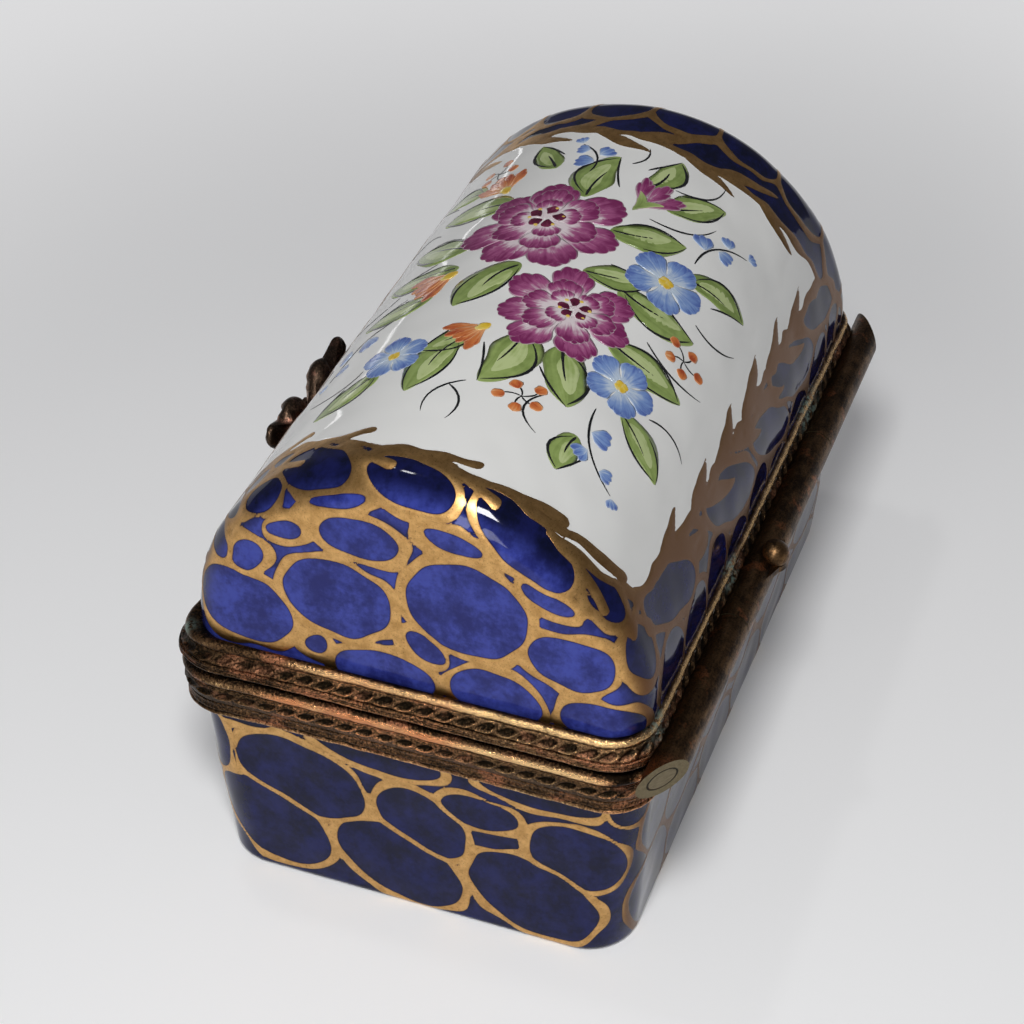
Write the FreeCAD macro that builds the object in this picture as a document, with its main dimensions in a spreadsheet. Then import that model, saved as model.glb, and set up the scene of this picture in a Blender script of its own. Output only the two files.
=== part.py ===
import FreeCAD, Part
import math
import os
import Sketcher
from FreeCAD import Vector

# Porcelain keepsake box in the form of a round-topped chest.
# Millimetres. Origin at the centre of the flat underside, +X along the length, -Y the front with
# the clasp, +Y the hinge side, +Z up. The lid turns on the hinge pin along X.

SIZES = {
    # Outermost outline of the two brass rims, and the plane where they meet
    "band_length": 60.4,
    "band_width": 38.0,
    "band_corner": 4.2,
    "joint_height": 20.5,
    "joint_gap": 0.1,
    "flange_thick": 0.35,
    # Section of both rims, measured inwards from the outermost outline
    "skirt_depth": 1.2,
    "rope_edge": 0.08,
    # Base rim, measured down from its flange
    "base_rim_height": 4.2,
    "base_rim_setback": 0.15,
    "base_bead_height": 1.5,
    "base_bead_round": 0.75,
    "base_bead_radius": 2.0,
    "base_rope_height": 1.4,
    "base_rope_seat": 0.5,
    "base_rope_bulge": 1.2,
    "base_lip_setback": 0.35,
    "base_lip_round": 0.35,
    "base_lip_radius": 0.9,
    # Lid rim, measured up from its flange
    "lid_lip_height": 0.95,
    "lid_lip_round": 0.35,
    "lid_rope_height": 0.8,
    "lid_rope_seat": 0.3,
    "lid_rope_lean": 0.52,
    "lid_rope_bulge": 0.75,
    "lid_bead_radius": 0.42,
    "bead_play": 0.05,
    # Plaster beds between rims and porcelain
    "cement_thick": 0.33,
    "cement_clearance": 0.02,
    "lid_bed_height": 1.3,
    # Porcelain base
    "foot_inset_ends": 1.5,
    "foot_inset_sides": 2.45,
    "foot_corner": 4.0,
    "foot_round": 0.9,
    "neck_step": 0.25,
    "base_wall": 2.1,
    "base_floor_wall": 2.6,
    "base_floor": 2.8,
    "cavity_corner": 2.2,
    # Porcelain lid: a barrel vault between two gables that lean inwards
    "lid_setback": 1.5,
    "spring_rise": 2.6,
    "gable_lean": 0.6,
    "lid_edge_round": 3.0,
    "lid_wall": 2.1,
    # Hinge
    "tube_radius": 1.35,
    "tube_offset": 0.1,
    "pin_radius": 0.7,
    "pin_fit_fixed": 0.02,
    "pin_fit_running": 0.05,
    "notch_clearance": 0.1,
    "seam": 12.0,
    "seam_gap": 0.1,
    "tube_past_rim": 0.7,
    "tube_mitre": 3.9,
    # Stop ball and its tab on the middle tube
    "stop_offset": 4.0,
    "tab_reach": 2.05,
    "tab_width": 5.6,
    "tab_tip_radius": 1.3,
    "tab_rise": 0.3,
    "tab_thick": 0.5,
    "ball_radius": 1.15,
    "ball_reach": 1.0,
    "ball_rise": 1.25,
    "solder_gap": 0.02,
    # Clasp: lobed ornament on the lid, catch on the base
    "ornament_width": 14.8,
    "ornament_height": 10.0,
    "ornament_below": 4.1,
    "ornament_thick": 1.2,
    "ornament_standoff": 1.05,
    "ornament_lean": 0.95,
    "ornament_bend": 3.4,
    "ornament_curve": 24.8,
    "bracket_width": 5.0,
    "bracket_height": 1.0,
    "bracket_rise": 0.25,
    "rivet_radius": 0.4,
    "rivet_spacing": 3.0,
    "rivet_head_radius": 0.7,
    "rivet_head_height": 0.35,
    "rivet_clearance": 0.03,
    "catch_width": 3.6,
    "catch_height": 2.0,
    "catch_thick": 0.33,
    "catch_drop": 1.4,
    "catch_bead_radius": 0.78,
    # How far cutting tools run past what they cut, and how near a face the edges to round lie
    "overrun": 3.0,
    "edge_margin": 0.1,
}

# Lobed outline of the clasp ornament, right half, from the bottom up. Each point is a share of the
# half width and of the height, then the share of the half width that is the radius of the arc
# leading to it (None for a straight line).
ORNAMENT_SHARES = [
    (0.19, 0.07, 0.24),
    (0.32, 0.30, None),
    (0.76, 0.55, None),
    (1.00, 0.70, 0.20),
    (0.62, 0.77, 0.205),
    (0.00, 0.87, 0.335),
]

# Where the stop tab's slanted sides start on the tube, and where its round tip starts, as shares of
# the tube's and the tip's radius
TAB_ROOT_SHARE = 0.75
TAB_SIDE_SHARE = 0.707

# How much of the ornament's lean is reached where the rivet heads sit
RIVET_LEAN_SHARE = 0.12

doc = FreeCAD.newDocument("StorageChest")


def make_sheet(sizes):
    """Put the driving sizes in a sheet, each with its own alias."""
    sheet = doc.addObject("Spreadsheet::Sheet", "Sizes")
    for row, (alias, value) in enumerate(sizes.items(), start=1):
        sheet.set(f"A{row}", alias)
        sheet.set(f"B{row}", str(value))
        sheet.setAlias(f"B{row}", alias)
    doc.recompute()
    return sheet


class Length:
    """A length with its value and the formula of sheet cells that gives it."""

    def __init__(self, value, formula):
        self.value = value
        self.formula = formula

    def __add__(self, other):
        return Length(self.value + other.value, f"({self.formula} + {other.formula})")

    def __sub__(self, other):
        return Length(self.value - other.value, f"({self.formula} - {other.formula})")

    def __mul__(self, share):
        return Length(self.value * share, f"({self.formula} * {share})")

    def __truediv__(self, count):
        return Length(self.value / count, f"({self.formula} / {count})")

    def __neg__(self):
        return Length(-self.value, f"(0 - {self.formula})")


SHEET = make_sheet(SIZES)
ZERO = Length(0.0, "0")
QUARTER_TURN = 90


def size(alias):
    """The length that the sheet holds under an alias."""
    return Length(float(SHEET.get(alias)), f"Sizes.{alias}")


def new_body(label):
    body = doc.addObject("PartDesign::Body", label)
    body.Label = label
    return body


def origin_plane(body, role):
    return next(f for f in body.Origin.OriginFeatures if f.Role == role)


def new_sketch(body, role, offset=ZERO):
    """A sketch on one of the body's origin planes, moved along the plane's normal."""
    sketch = body.newObject("Sketcher::SketchObject", body.Label + "_sketch")
    sketch.AttachmentSupport = (origin_plane(body, role), [""])
    sketch.MapMode = "FlatFace"
    if offset is not ZERO:
        sketch.AttachmentOffset = FreeCAD.Placement(Vector(0, 0, offset.value), FreeCAD.Rotation())
        sketch.setExpression("AttachmentOffset.Base.z", offset.formula)
    return sketch


def bind(sketch, length, kind, *where):
    """Add a dimension to the sketch and bind it to the sheet."""
    index = sketch.addConstraint(Sketcher.Constraint(kind, *where, length.value))
    if length is not ZERO:
        sketch.setExpression(f"Constraints[{index}]", length.formula)


def arc_edge(start, end, radius, turn):
    """The minor arc from start to end that turns left (1) or right (-1)."""
    chord = end - start
    left = Vector(-chord.y, chord.x, 0).normalize()
    rise = math.sqrt(max(radius ** 2 - (chord.Length / 2) ** 2, 0.0))
    centre = start + chord / 2 + left * rise * turn
    angles = [math.atan2(p.y - centre.y, p.x - centre.x) for p in (start, end)]
    if turn < 0:
        angles.reverse()
    if angles[1] < angles[0]:
        angles[1] += math.tau
    return Part.ArcOfCircle(Part.Circle(centre, Vector(0, 0, 1), radius), *angles)


def outline(sketch, corners):
    """Close a loop through the corners: (x, y), or (x, y, radius, turn) where an arc leads to one."""
    first = sketch.GeometryCount
    count = len(corners)
    for i, corner in enumerate(corners):
        before = corners[i - 1]
        start = Vector(before[0].value, before[1].value, 0)
        end = Vector(corner[0].value, corner[1].value, 0)
        if len(corner) == 2:
            sketch.addGeometry(Part.LineSegment(start, end), False)
        else:
            sketch.addGeometry(arc_edge(start, end, corner[2].value, corner[3]), False)
    head = [2 if len(c) == 2 or c[3] > 0 else 1 for c in corners]
    tail = [3 - h for h in head]
    for i, corner in enumerate(corners):
        edge = first + i
        after = first + (i + 1) % count
        meet = Sketcher.Constraint("Coincident", edge, head[i], after, tail[(i + 1) % count])
        sketch.addConstraint(meet)
        bind(sketch, corner[0], "DistanceX", -1, 1, edge, head[i])
        bind(sketch, corner[1], "DistanceY", -1, 1, edge, head[i])
        if len(corner) > 2:
            bind(sketch, corner[2], "Radius", edge)


def circle(sketch, x, y, radius):
    round_edge = Part.Circle(Vector(x.value, y.value, 0), Vector(0, 0, 1), radius.value)
    index = sketch.addGeometry(round_edge, False)
    bind(sketch, x, "DistanceX", -1, 1, index, 3)
    bind(sketch, y, "DistanceY", -1, 1, index, 3)
    bind(sketch, radius, "Radius", index)


def rectangle(sketch, low_x, low_y, high_x, high_y):
    outline(sketch, [(high_x, low_y), (high_x, high_y), (low_x, high_y), (low_x, low_y)])


def rounded_rectangle(sketch, half_x, half_y, radius, start_on_axis=False):
    """A rectangle about the origin with round corners, which can have an extra point on the X axis."""
    flat_x = half_x - radius
    flat_y = half_y - radius
    outline(sketch, [(half_x, ZERO)] * start_on_axis + [
        (half_x, flat_y),
        (flat_x, half_y, radius, 1),
        (-flat_x, half_y),
        (-half_x, flat_y, radius, 1),
        (-half_x, -flat_y),
        (-flat_x, -half_y, radius, 1),
        (flat_x, -half_y),
        (half_x, -flat_y, radius, 1),
    ])


def extrude(body, kind, sketch, length=None, midplane=False, reverse=False):
    """A Pad or a Pocket of the sketch. A Pocket with no length goes through everything."""
    feature = body.newObject("PartDesign::" + kind, f"{body.Label}_{kind}")
    feature.Profile = sketch
    if length is None:
        feature.Type = "ThroughAll"
    else:
        feature.Length = length.value
        feature.setExpression("Length", length.formula)
    if midplane:
        feature.SideType = "Symmetric"
    feature.Reversed = reverse
    sketch.Visibility = False
    return feature


def sweep(body, profile, spine):
    """Carry an upright profile round a closed outline in the XY plane."""
    pipe = body.newObject("PartDesign::AdditivePipe", body.Label + "_sweep")
    pipe.Profile = profile
    pipe.Spine = (spine, [""])
    pipe.Mode = "Binormal"
    pipe.Binormal = Vector(0, 0, 1)
    pipe.Transition = "Transformed"
    return pipe


def fillet(body, base, chosen, radius):
    """Round the edges of the base feature for which chosen(edge) holds."""
    doc.recompute()
    names = [f"Edge{i}" for i, edge in enumerate(base.Shape.Edges, start=1) if chosen(edge)]
    feature = body.newObject("PartDesign::Fillet", body.Label + "_fillet")
    feature.Base = (base, names)
    feature.Radius = radius.value
    feature.setExpression("Radius", radius.formula)
    return feature


def trim(body, role, corners):
    """Keep only what lies inside an outline on one of the origin planes."""
    far = size("band_length")
    sketch = new_sketch(body, role)
    rectangle(sketch, -far, -far, far, far)
    outline(sketch, corners)
    extrude(body, "Pocket", sketch, far * 2, midplane=True)


# Lengths that several pieces share
HALF_LENGTH = size("band_length") / 2
HALF_WIDTH = size("band_width") / 2
SKIRT_X = HALF_LENGTH - size("skirt_depth")
SKIRT_Y = HALF_WIDTH - size("skirt_depth")
SKIRT_CORNER = size("band_corner") - size("skirt_depth")
NECK_X = SKIRT_X - size("cement_thick")
NECK_Y = SKIRT_Y - size("cement_thick")
NECK_CORNER = SKIRT_CORNER - size("cement_thick")
FOOT_X = HALF_LENGTH - size("foot_inset_ends")
FOOT_Y = HALF_WIDTH - size("foot_inset_sides")
MOUTH_X = NECK_X - size("base_wall")
MOUTH_Y = NECK_Y - size("base_wall")
BASE_TOP = size("joint_height") - size("joint_gap") / 2
BASE_RIM_LOW = BASE_TOP - size("base_rim_height")
NECK_TOP = BASE_TOP - size("flange_thick")
LID_BOTTOM = size("joint_height") + size("joint_gap") / 2
LID_SEAT = LID_BOTTOM + size("flange_thick")
LID_X = HALF_LENGTH - size("lid_setback")
VAULT_RADIUS = HALF_WIDTH - size("lid_setback")
VAULT_AXIS = size("joint_height") + size("spring_rise")
HINGE_Y = HALF_WIDTH + size("tube_offset")
HINGE_Z = size("joint_height")
TUBE_END = HALF_LENGTH + size("tube_past_rim")
TUBE_END_OUTSIDE = TUBE_END - size("tube_mitre")
NOTCH_RADIUS = size("tube_radius") + size("notch_clearance")
ORNAMENT_LOW = size("joint_height") - size("ornament_below")
ORNAMENT_BACK = HALF_WIDTH + size("ornament_standoff")
ORNAMENT_FRONT = ORNAMENT_BACK + size("ornament_thick")
RIVET_Z = LID_BOTTOM + size("bracket_rise") + size("bracket_height") / 2
RIVET_PLACES = (-size("rivet_spacing") / 2, size("rivet_spacing") / 2)
RIVET_HOLE = size("rivet_radius") + size("rivet_clearance")
CATCH_BACK = HALF_WIDTH - size("base_rim_setback")
CATCH_FRONT = CATCH_BACK + size("catch_thick")
CATCH_HIGH = BASE_TOP - size("catch_drop")


def notch_for_hinge(body):
    """Clear a straight round channel for the hinge tubes."""
    sketch = new_sketch(body, "YZ_Plane")
    circle(sketch, HINGE_Y, HINGE_Z, NOTCH_RADIUS)
    extrude(body, "Pocket", sketch, size("band_length") * 2, midplane=True)


def ring(body, low, height, outer, inner):
    """A level ring between two rounded rectangles, each given as (half x, half y, corner radius)."""
    sketch = new_sketch(body, "XY_Plane", low)
    rounded_rectangle(sketch, *outer)
    rounded_rectangle(sketch, *inner)
    extrude(body, "Pad", sketch, height)


def swept_strip(label, corners):
    """Carry a strip's section round the band's outermost outline."""
    spine = doc.addObject("Sketcher::SketchObject", label + "_spine")
    spine.setExpression("Placement.Base.z", size("joint_height").formula)
    rounded_rectangle(spine, HALF_LENGTH, HALF_WIDTH, size("band_corner"), start_on_axis=True)
    profile = doc.addObject("Sketcher::SketchObject", label + "_profile")
    profile.Placement = FreeCAD.Placement(Vector(), FreeCAD.Rotation(Vector(1, 0, 0), QUARTER_TURN))
    outline(profile, [(HALF_LENGTH - corner[0],) + tuple(corner[1:]) for corner in corners])
    strip = doc.addObject("Part::Sweep", label)
    strip.Sections = [profile]
    strip.Spine = (spine, [f"Edge{i}" for i in range(1, spine.GeometryCount + 1)])
    strip.Solid = True
    strip.Frenet = True
    return strip


def swept_band(body, corners):
    """Carry a rim's section, given as (inward distance, height, ...), round the outermost outline."""
    spine = new_sketch(body, "XY_Plane", size("joint_height"))
    rounded_rectangle(spine, HALF_LENGTH, HALF_WIDTH, size("band_corner"), start_on_axis=True)
    profile = new_sketch(body, "XZ_Plane")
    outline(profile, [(HALF_LENGTH - corner[0],) + tuple(corner[1:]) for corner in corners])
    return sweep(body, profile, spine)


def make_porcelain_base():
    """Tapered bowl with a straight set-back neck and a flat underside with a rounded edge."""
    body = new_body("porcelain_base")
    step = size("neck_step")
    foot = new_sketch(body, "XY_Plane")
    rounded_rectangle(foot, FOOT_X, FOOT_Y, size("foot_corner"))
    shoulder = new_sketch(body, "XY_Plane", BASE_RIM_LOW)
    rounded_rectangle(shoulder, NECK_X + step, NECK_Y + step, NECK_CORNER + step)
    loft = body.newObject("PartDesign::AdditiveLoft", "base_outside")
    loft.Profile = shoulder
    loft.Sections = [foot]
    loft.Ruled = True
    margin = size("edge_margin").value
    fillet(body, loft, lambda edge: edge.BoundBox.ZMax < margin, size("foot_round"))
    neck = new_sketch(body, "XY_Plane", BASE_RIM_LOW)
    rounded_rectangle(neck, NECK_X, NECK_Y, NECK_CORNER)
    extrude(body, "Pad", neck, NECK_TOP - BASE_RIM_LOW)
    floor = new_sketch(body, "XY_Plane", size("base_floor"))
    floor_wall = size("base_floor_wall")
    rounded_rectangle(floor, FOOT_X - floor_wall, FOOT_Y - floor_wall, size("cavity_corner"))
    mouth = new_sketch(body, "XY_Plane", NECK_TOP)
    rounded_rectangle(mouth, MOUTH_X, MOUTH_Y, size("cavity_corner"))
    cavity = body.newObject("PartDesign::SubtractiveLoft", "base_inside")
    cavity.Profile = floor
    cavity.Sections = [mouth]
    cavity.Ruled = True


def make_base_rim():
    """Flange over the porcelain rim, and a skirt with a bead, a seat for the rope strip and a lip."""
    body = new_body("base_rim")
    opening = (MOUTH_X, MOUTH_Y, size("cavity_corner"))
    skirt = (SKIRT_X, SKIRT_Y, SKIRT_CORNER)
    ring(body, NECK_TOP, size("flange_thick"), skirt, opening)
    depth = size("skirt_depth")
    setback = size("base_rim_setback")
    seat = size("base_rope_seat")
    bead_low = BASE_TOP - size("base_bead_height")
    rope_low = bead_low - size("base_rope_height")
    lip_setback = size("base_lip_setback")
    lip_side = BASE_RIM_LOW + size("base_lip_round")
    swept_band(body, [
        (depth, BASE_RIM_LOW),
        (lip_setback + size("base_lip_round"), BASE_RIM_LOW),
        (lip_setback, lip_side, size("base_lip_radius"), 1),
        (seat, rope_low),
        (seat, bead_low),
        (setback, bead_low),
        (setback + size("base_bead_round"), BASE_TOP, size("base_bead_radius"), 1),
        (depth, BASE_TOP),
    ])
    notch_for_hinge(body)


def make_base_rope():
    """Strip with a round front in the base rim's seat."""
    seat = size("base_rope_seat")
    front = seat - size("rope_edge")
    high = BASE_TOP - size("base_bead_height")
    low = high - size("base_rope_height")
    swept_strip("base_rope", [
        (seat, low),
        (front, low),
        (front, high, size("base_rope_bulge"), 1),
        (seat, high),
    ])


def make_lid_rim():
    """Flange under the lid, and a skirt with a lip, a slanted rope seat and a round closing bead."""
    body = new_body("lid_rim")
    wall = size("lid_wall")
    opening = (LID_X - wall, VAULT_RADIUS - wall, size("cavity_corner"))
    skirt = (SKIRT_X, SKIRT_Y, SKIRT_CORNER)
    ring(body, LID_BOTTOM, size("flange_thick"), skirt, opening)
    depth = size("skirt_depth")
    bead = size("lid_bead_radius")
    bead_in = size("lid_setback") - size("bead_play")
    lip_top = LID_BOTTOM + size("lid_lip_height")
    seat = size("lid_rope_seat")
    seat_high = lip_top + size("lid_rope_height")
    seat_in = seat + size("lid_rope_lean")
    swept_band(body, [
        (depth, LID_BOTTOM),
        (size("lid_lip_round"), LID_BOTTOM),
        (ZERO, LID_BOTTOM + size("lid_lip_round"), size("lid_lip_round"), 1),
        (ZERO, lip_top),
        (seat, lip_top),
        (seat_in, seat_high),
        (bead_in - bead * 2, seat_high + bead, bead, 1),
        (bead_in - bead, seat_high + bead * 2, bead, 1),
        (bead_in, seat_high + bead, bead, 1),
        (depth, seat_high),
    ])
    notch_for_hinge(body)


def make_lid_rope():
    """Strip with a round front on the lid rim's slanted seat, cleared for the hinge tubes."""
    low = LID_BOTTOM + size("lid_lip_height")
    high = low + size("lid_rope_height")
    seat = size("lid_rope_seat")
    edge = size("rope_edge")
    lean = size("lid_rope_lean")
    strip = swept_strip("lid_rope_strip", [
        (seat, low),
        (seat - edge, low),
        (seat + lean - edge, high, size("lid_rope_bulge"), 1),
        (seat + lean, high),
    ])
    channel = doc.addObject("Part::Cylinder", "hinge_channel")
    channel.setExpression("Radius", NOTCH_RADIUS.formula)
    channel.setExpression("Height", (size("band_length") * 2).formula)
    channel.Placement = FreeCAD.Placement(Vector(), FreeCAD.Rotation(Vector(0, 1, 0), QUARTER_TURN))
    channel.setExpression("Placement.Base.x", (-size("band_length")).formula)
    channel.setExpression("Placement.Base.y", HINGE_Y.formula)
    channel.setExpression("Placement.Base.z", HINGE_Z.formula)
    rope = doc.addObject("Part::Cut", "lid_rope")
    rope.Base = strip
    rope.Tool = channel


def make_cement(label, low, high, inner):
    """Plaster bed that fills the space between a rim's skirt and the porcelain."""
    body = new_body(label)
    play = size("cement_clearance")
    outer = (SKIRT_X - play, SKIRT_Y - play, SKIRT_CORNER - play)
    ring(body, low, high - low, outer, tuple(length + play for length in inner))
    notch_for_hinge(body)


def make_porcelain_lid():
    """Barrel vault cut by leaning gables, edges rounded, hollowed from below."""
    body = new_body("porcelain_lid")
    outside = new_sketch(body, "YZ_Plane")
    vault_outline(outside, VAULT_RADIUS, LID_SEAT)
    extrude(body, "Pad", outside, LID_X * 2, midplane=True)
    top = VAULT_AXIS + VAULT_RADIUS
    lean = size("gable_lean")
    over = size("overrun")
    trim(body, "XZ_Plane", [
        (LID_X, LID_SEAT - over),
        (LID_X, LID_SEAT),
        (LID_X - lean, top),
        (LID_X - lean, top + over),
        (lean - LID_X, top + over),
        (lean - LID_X, top),
        (-LID_X, LID_SEAT),
        (-LID_X, LID_SEAT - over),
    ])
    end = (LID_X - lean - size("edge_margin")).value
    floor = (LID_SEAT + size("edge_margin")).value

    def at_gable(edge):
        box = edge.BoundBox
        return min(abs(box.XMin), abs(box.XMax)) > end and box.ZMax > floor

    fillet(body, body.Tip, at_gable, size("lid_edge_round"))
    inside = new_sketch(body, "YZ_Plane")
    wall = size("lid_wall")
    vault_outline(inside, VAULT_RADIUS - wall, LID_SEAT - over)
    extrude(body, "Pocket", inside, (LID_X - wall) * 2, midplane=True)


def vault_outline(sketch, radius, low):
    """A half circle about the vault's axis, closed by upright sides down to a level."""
    outline(sketch, [
        (radius, low),
        (radius, VAULT_AXIS),
        (ZERO, VAULT_AXIS + radius, radius, 1),
        (-radius, VAULT_AXIS, radius, 1),
        (-radius, low),
    ])


def tube(body, start, length, outer, inner=None):
    """A bar or tube along the hinge axis."""
    sketch = new_sketch(body, "YZ_Plane", start)
    circle(sketch, HINGE_Y, HINGE_Z, outer)
    if inner is not None:
        circle(sketch, HINGE_Y, HINGE_Z, inner)
    extrude(body, "Pad", sketch, length)


def mitre(body, side):
    """Cut the tube's end along the line that follows the rims' round corner."""
    over = size("overrun")
    inner_y = HINGE_Y - size("tube_radius")
    outer_y = HINGE_Y + size("tube_radius")
    far = (TUBE_END + over) * side
    sketch = new_sketch(body, "XY_Plane", HINGE_Z)
    corners = [
        (TUBE_END * side, inner_y),
        (far, inner_y),
        (far, outer_y),
        (TUBE_END_OUTSIDE * side, outer_y),
    ]
    outline(sketch, corners if side > 0 else corners[::-1])
    extrude(body, "Pocket", sketch, size("band_width"), midplane=True)


def make_end_knuckle(label, side):
    """Outer hinge tube on the base, from the seam to the mitred end."""
    body = new_body(label)
    near = size("seam") + size("seam_gap") / 2
    length = TUBE_END - near
    start = near if side > 0 else -TUBE_END
    tube(body, start, length, size("tube_radius"), size("pin_radius") + size("pin_fit_fixed"))
    mitre(body, side)


def make_centre_knuckle():
    """Middle hinge tube, which turns with the lid."""
    body = new_body("hinge_knuckle_centre")
    half = size("seam") - size("seam_gap") / 2
    tube(body, -half, half * 2, size("tube_radius"), size("pin_radius") + size("pin_fit_running"))


def make_hinge_pin():
    body = new_body("hinge_pin")
    tube(body, -TUBE_END, TUBE_END * 2, size("pin_radius"))
    mitre(body, 1)
    mitre(body, -1)


def make_stop_tab():
    """Round-ended tab that leaves the middle tube and meets the base rim when the lid is open."""
    body = new_body("stop_tab")
    half = size("tab_width") / 2
    tip = size("tab_tip_radius")
    centre = size("stop_offset")
    reach = HINGE_Y + size("tab_reach")
    root = HINGE_Y + size("tube_radius") * TAB_ROOT_SHARE
    side = tip * TAB_SIDE_SHARE
    shoulder = reach - tip + side
    sketch = new_sketch(body, "XY_Plane", HINGE_Z + size("tab_rise"))
    outline(sketch, [
        (centre + half, HINGE_Y),
        (centre + half, root),
        (centre + side, shoulder),
        (centre, reach, tip, 1),
        (centre - side, shoulder, tip, 1),
        (centre - half, root),
        (centre - half, HINGE_Y),
    ])
    extrude(body, "Pad", sketch, size("tab_thick"))
    clear_tube(body)


def clear_tube(body):
    """Take away what would lie inside the hinge tube."""
    sketch = new_sketch(body, "YZ_Plane")
    circle(sketch, HINGE_Y, HINGE_Z, size("tube_radius") + size("solder_gap"))
    extrude(body, "Pocket", sketch, size("band_length"), midplane=True)


def make_stop_ball():
    """Ball on the tab and the middle tube, hollowed to sit on both."""
    body = new_body("stop_ball")
    radius = size("ball_radius")
    ball = body.newObject("PartDesign::AdditiveSphere", "ball")
    ball.Radius = radius.value
    ball.setExpression("Radius", radius.formula)
    ball.AttachmentSupport = (origin_plane(body, "XY_Plane"), [""])
    ball.MapMode = "FlatFace"
    ball.setExpression("AttachmentOffset.Base.x", size("stop_offset").formula)
    ball.setExpression("AttachmentOffset.Base.y", (HINGE_Y + size("ball_reach")).formula)
    ball.setExpression("AttachmentOffset.Base.z", (HINGE_Z + size("ball_rise")).formula)
    tab_top = HINGE_Z + size("tab_rise") + size("tab_thick") + size("solder_gap")
    under = new_sketch(body, "XY_Plane", tab_top)
    far = size("band_length")
    rectangle(under, -far, -far, far, far)
    extrude(body, "Pocket", under, far)
    clear_tube(body)


def make_clasp_ornament():
    """Upright plate that leans out at the top, trimmed to a lobed outline, with two rivet holes."""
    body = new_body("clasp_ornament")
    top = ORNAMENT_LOW + size("ornament_height")
    bend = ORNAMENT_LOW + size("ornament_bend")
    curve = size("ornament_curve")
    lean = size("ornament_lean")
    side = new_sketch(body, "YZ_Plane")
    outline(side, [
        (-ORNAMENT_BACK, ORNAMENT_LOW),
        (-ORNAMENT_BACK, bend),
        (-(ORNAMENT_BACK + lean), top, curve, 1),
        (-(ORNAMENT_FRONT + lean), top),
        (-ORNAMENT_FRONT, bend, curve, -1),
        (-ORNAMENT_FRONT, ORNAMENT_LOW),
    ])
    extrude(body, "Pad", side, size("ornament_width"), midplane=True)
    trim(body, "XZ_Plane", ornament_corners())
    holes = new_sketch(body, "XZ_Plane")
    for x in RIVET_PLACES:
        circle(holes, x, RIVET_Z, RIVET_HOLE)
    extrude(body, "Pocket", holes, size("band_width") * 2, midplane=True)


def ornament_corners():
    """The lobed outline: the right half upwards, then the same points mirrored downwards."""
    half = size("ornament_width") / 2
    height = size("ornament_height")
    corners = []
    for x, z, bend in ORNAMENT_SHARES:
        arc = () if bend is None else (half * bend, 1)
        corners.append((half * x, ORNAMENT_LOW + height * z) + arc)
    mirrored = []
    for point, leading in zip(corners[:-1], corners[1:]):
        mirrored.insert(0, (-point[0], point[1]) + leading[2:])
    return corners + mirrored


def make_clasp_bracket():
    """Block between the lid rim's lip and the ornament."""
    body = new_body("clasp_bracket")
    half = size("bracket_width") / 2
    low = LID_BOTTOM + size("bracket_rise")
    sketch = new_sketch(body, "XZ_Plane", HALF_WIDTH)
    rectangle(sketch, -half, low, half, low + size("bracket_height"))
    for x in RIVET_PLACES:
        circle(sketch, x, RIVET_Z, RIVET_HOLE)
    extrude(body, "Pad", sketch, size("ornament_standoff"))


def make_clasp_rivets():
    """Two rivets, each a shank through bracket and ornament with a flat head on the ornament's face."""
    play = size("solder_gap")
    head_from = ORNAMENT_FRONT + play + size("ornament_lean") * RIVET_LEAN_SHARE
    rivets = []
    for number, x in enumerate(RIVET_PLACES, start=1):
        body = new_body(f"rivet_{number}")
        shank = new_sketch(body, "XZ_Plane", HALF_WIDTH + play)
        circle(shank, x, RIVET_Z, size("rivet_radius"))
        extrude(body, "Pad", shank, head_from + size("rivet_head_height") - HALF_WIDTH - play)
        head = new_sketch(body, "XZ_Plane", head_from)
        circle(head, x, RIVET_Z, size("rivet_head_radius"))
        extrude(body, "Pad", head, size("rivet_head_height"))
        rivets.append(body)
    group = doc.addObject("Part::Compound", "clasp_rivets")
    group.Label = "clasp_rivets"
    group.Links = rivets
    return group


def make_catch_plate():
    """Plate soldered to the front of the base rim."""
    body = new_body("catch_plate")
    half = size("catch_width") / 2
    sketch = new_sketch(body, "XZ_Plane", CATCH_BACK)
    rectangle(sketch, -half, CATCH_HIGH - size("catch_height"), half, CATCH_HIGH)
    extrude(body, "Pad", sketch, size("catch_thick"))


def make_catch_bead():
    """Half ball on the catch plate, turned about an axis square to it."""
    body = new_body("catch_bead")
    radius = size("catch_bead_radius")
    middle = CATCH_HIGH - size("catch_height") / 2
    sketch = new_sketch(body, "YZ_Plane")
    outline(sketch, [
        (-CATCH_FRONT, middle),
        (-CATCH_FRONT, middle + radius),
        (-(CATCH_FRONT + radius), middle, radius, 1),
    ])
    turned = body.newObject("PartDesign::Revolution", "catch_bead_turn")
    turned.Profile = sketch
    turned.ReferenceAxis = (sketch, ["Edge1"])


PIECES = [
    "porcelain_base", "base_rim", "base_rope", "base_cement", "hinge_knuckle_near", "hinge_knuckle_far",
    "hinge_pin", "catch_plate", "catch_bead", "porcelain_lid", "lid_rim", "lid_rope", "lid_cement",
    "hinge_knuckle_centre", "stop_tab", "stop_ball", "clasp_ornament", "clasp_bracket", "clasp_rivets",
]


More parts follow.
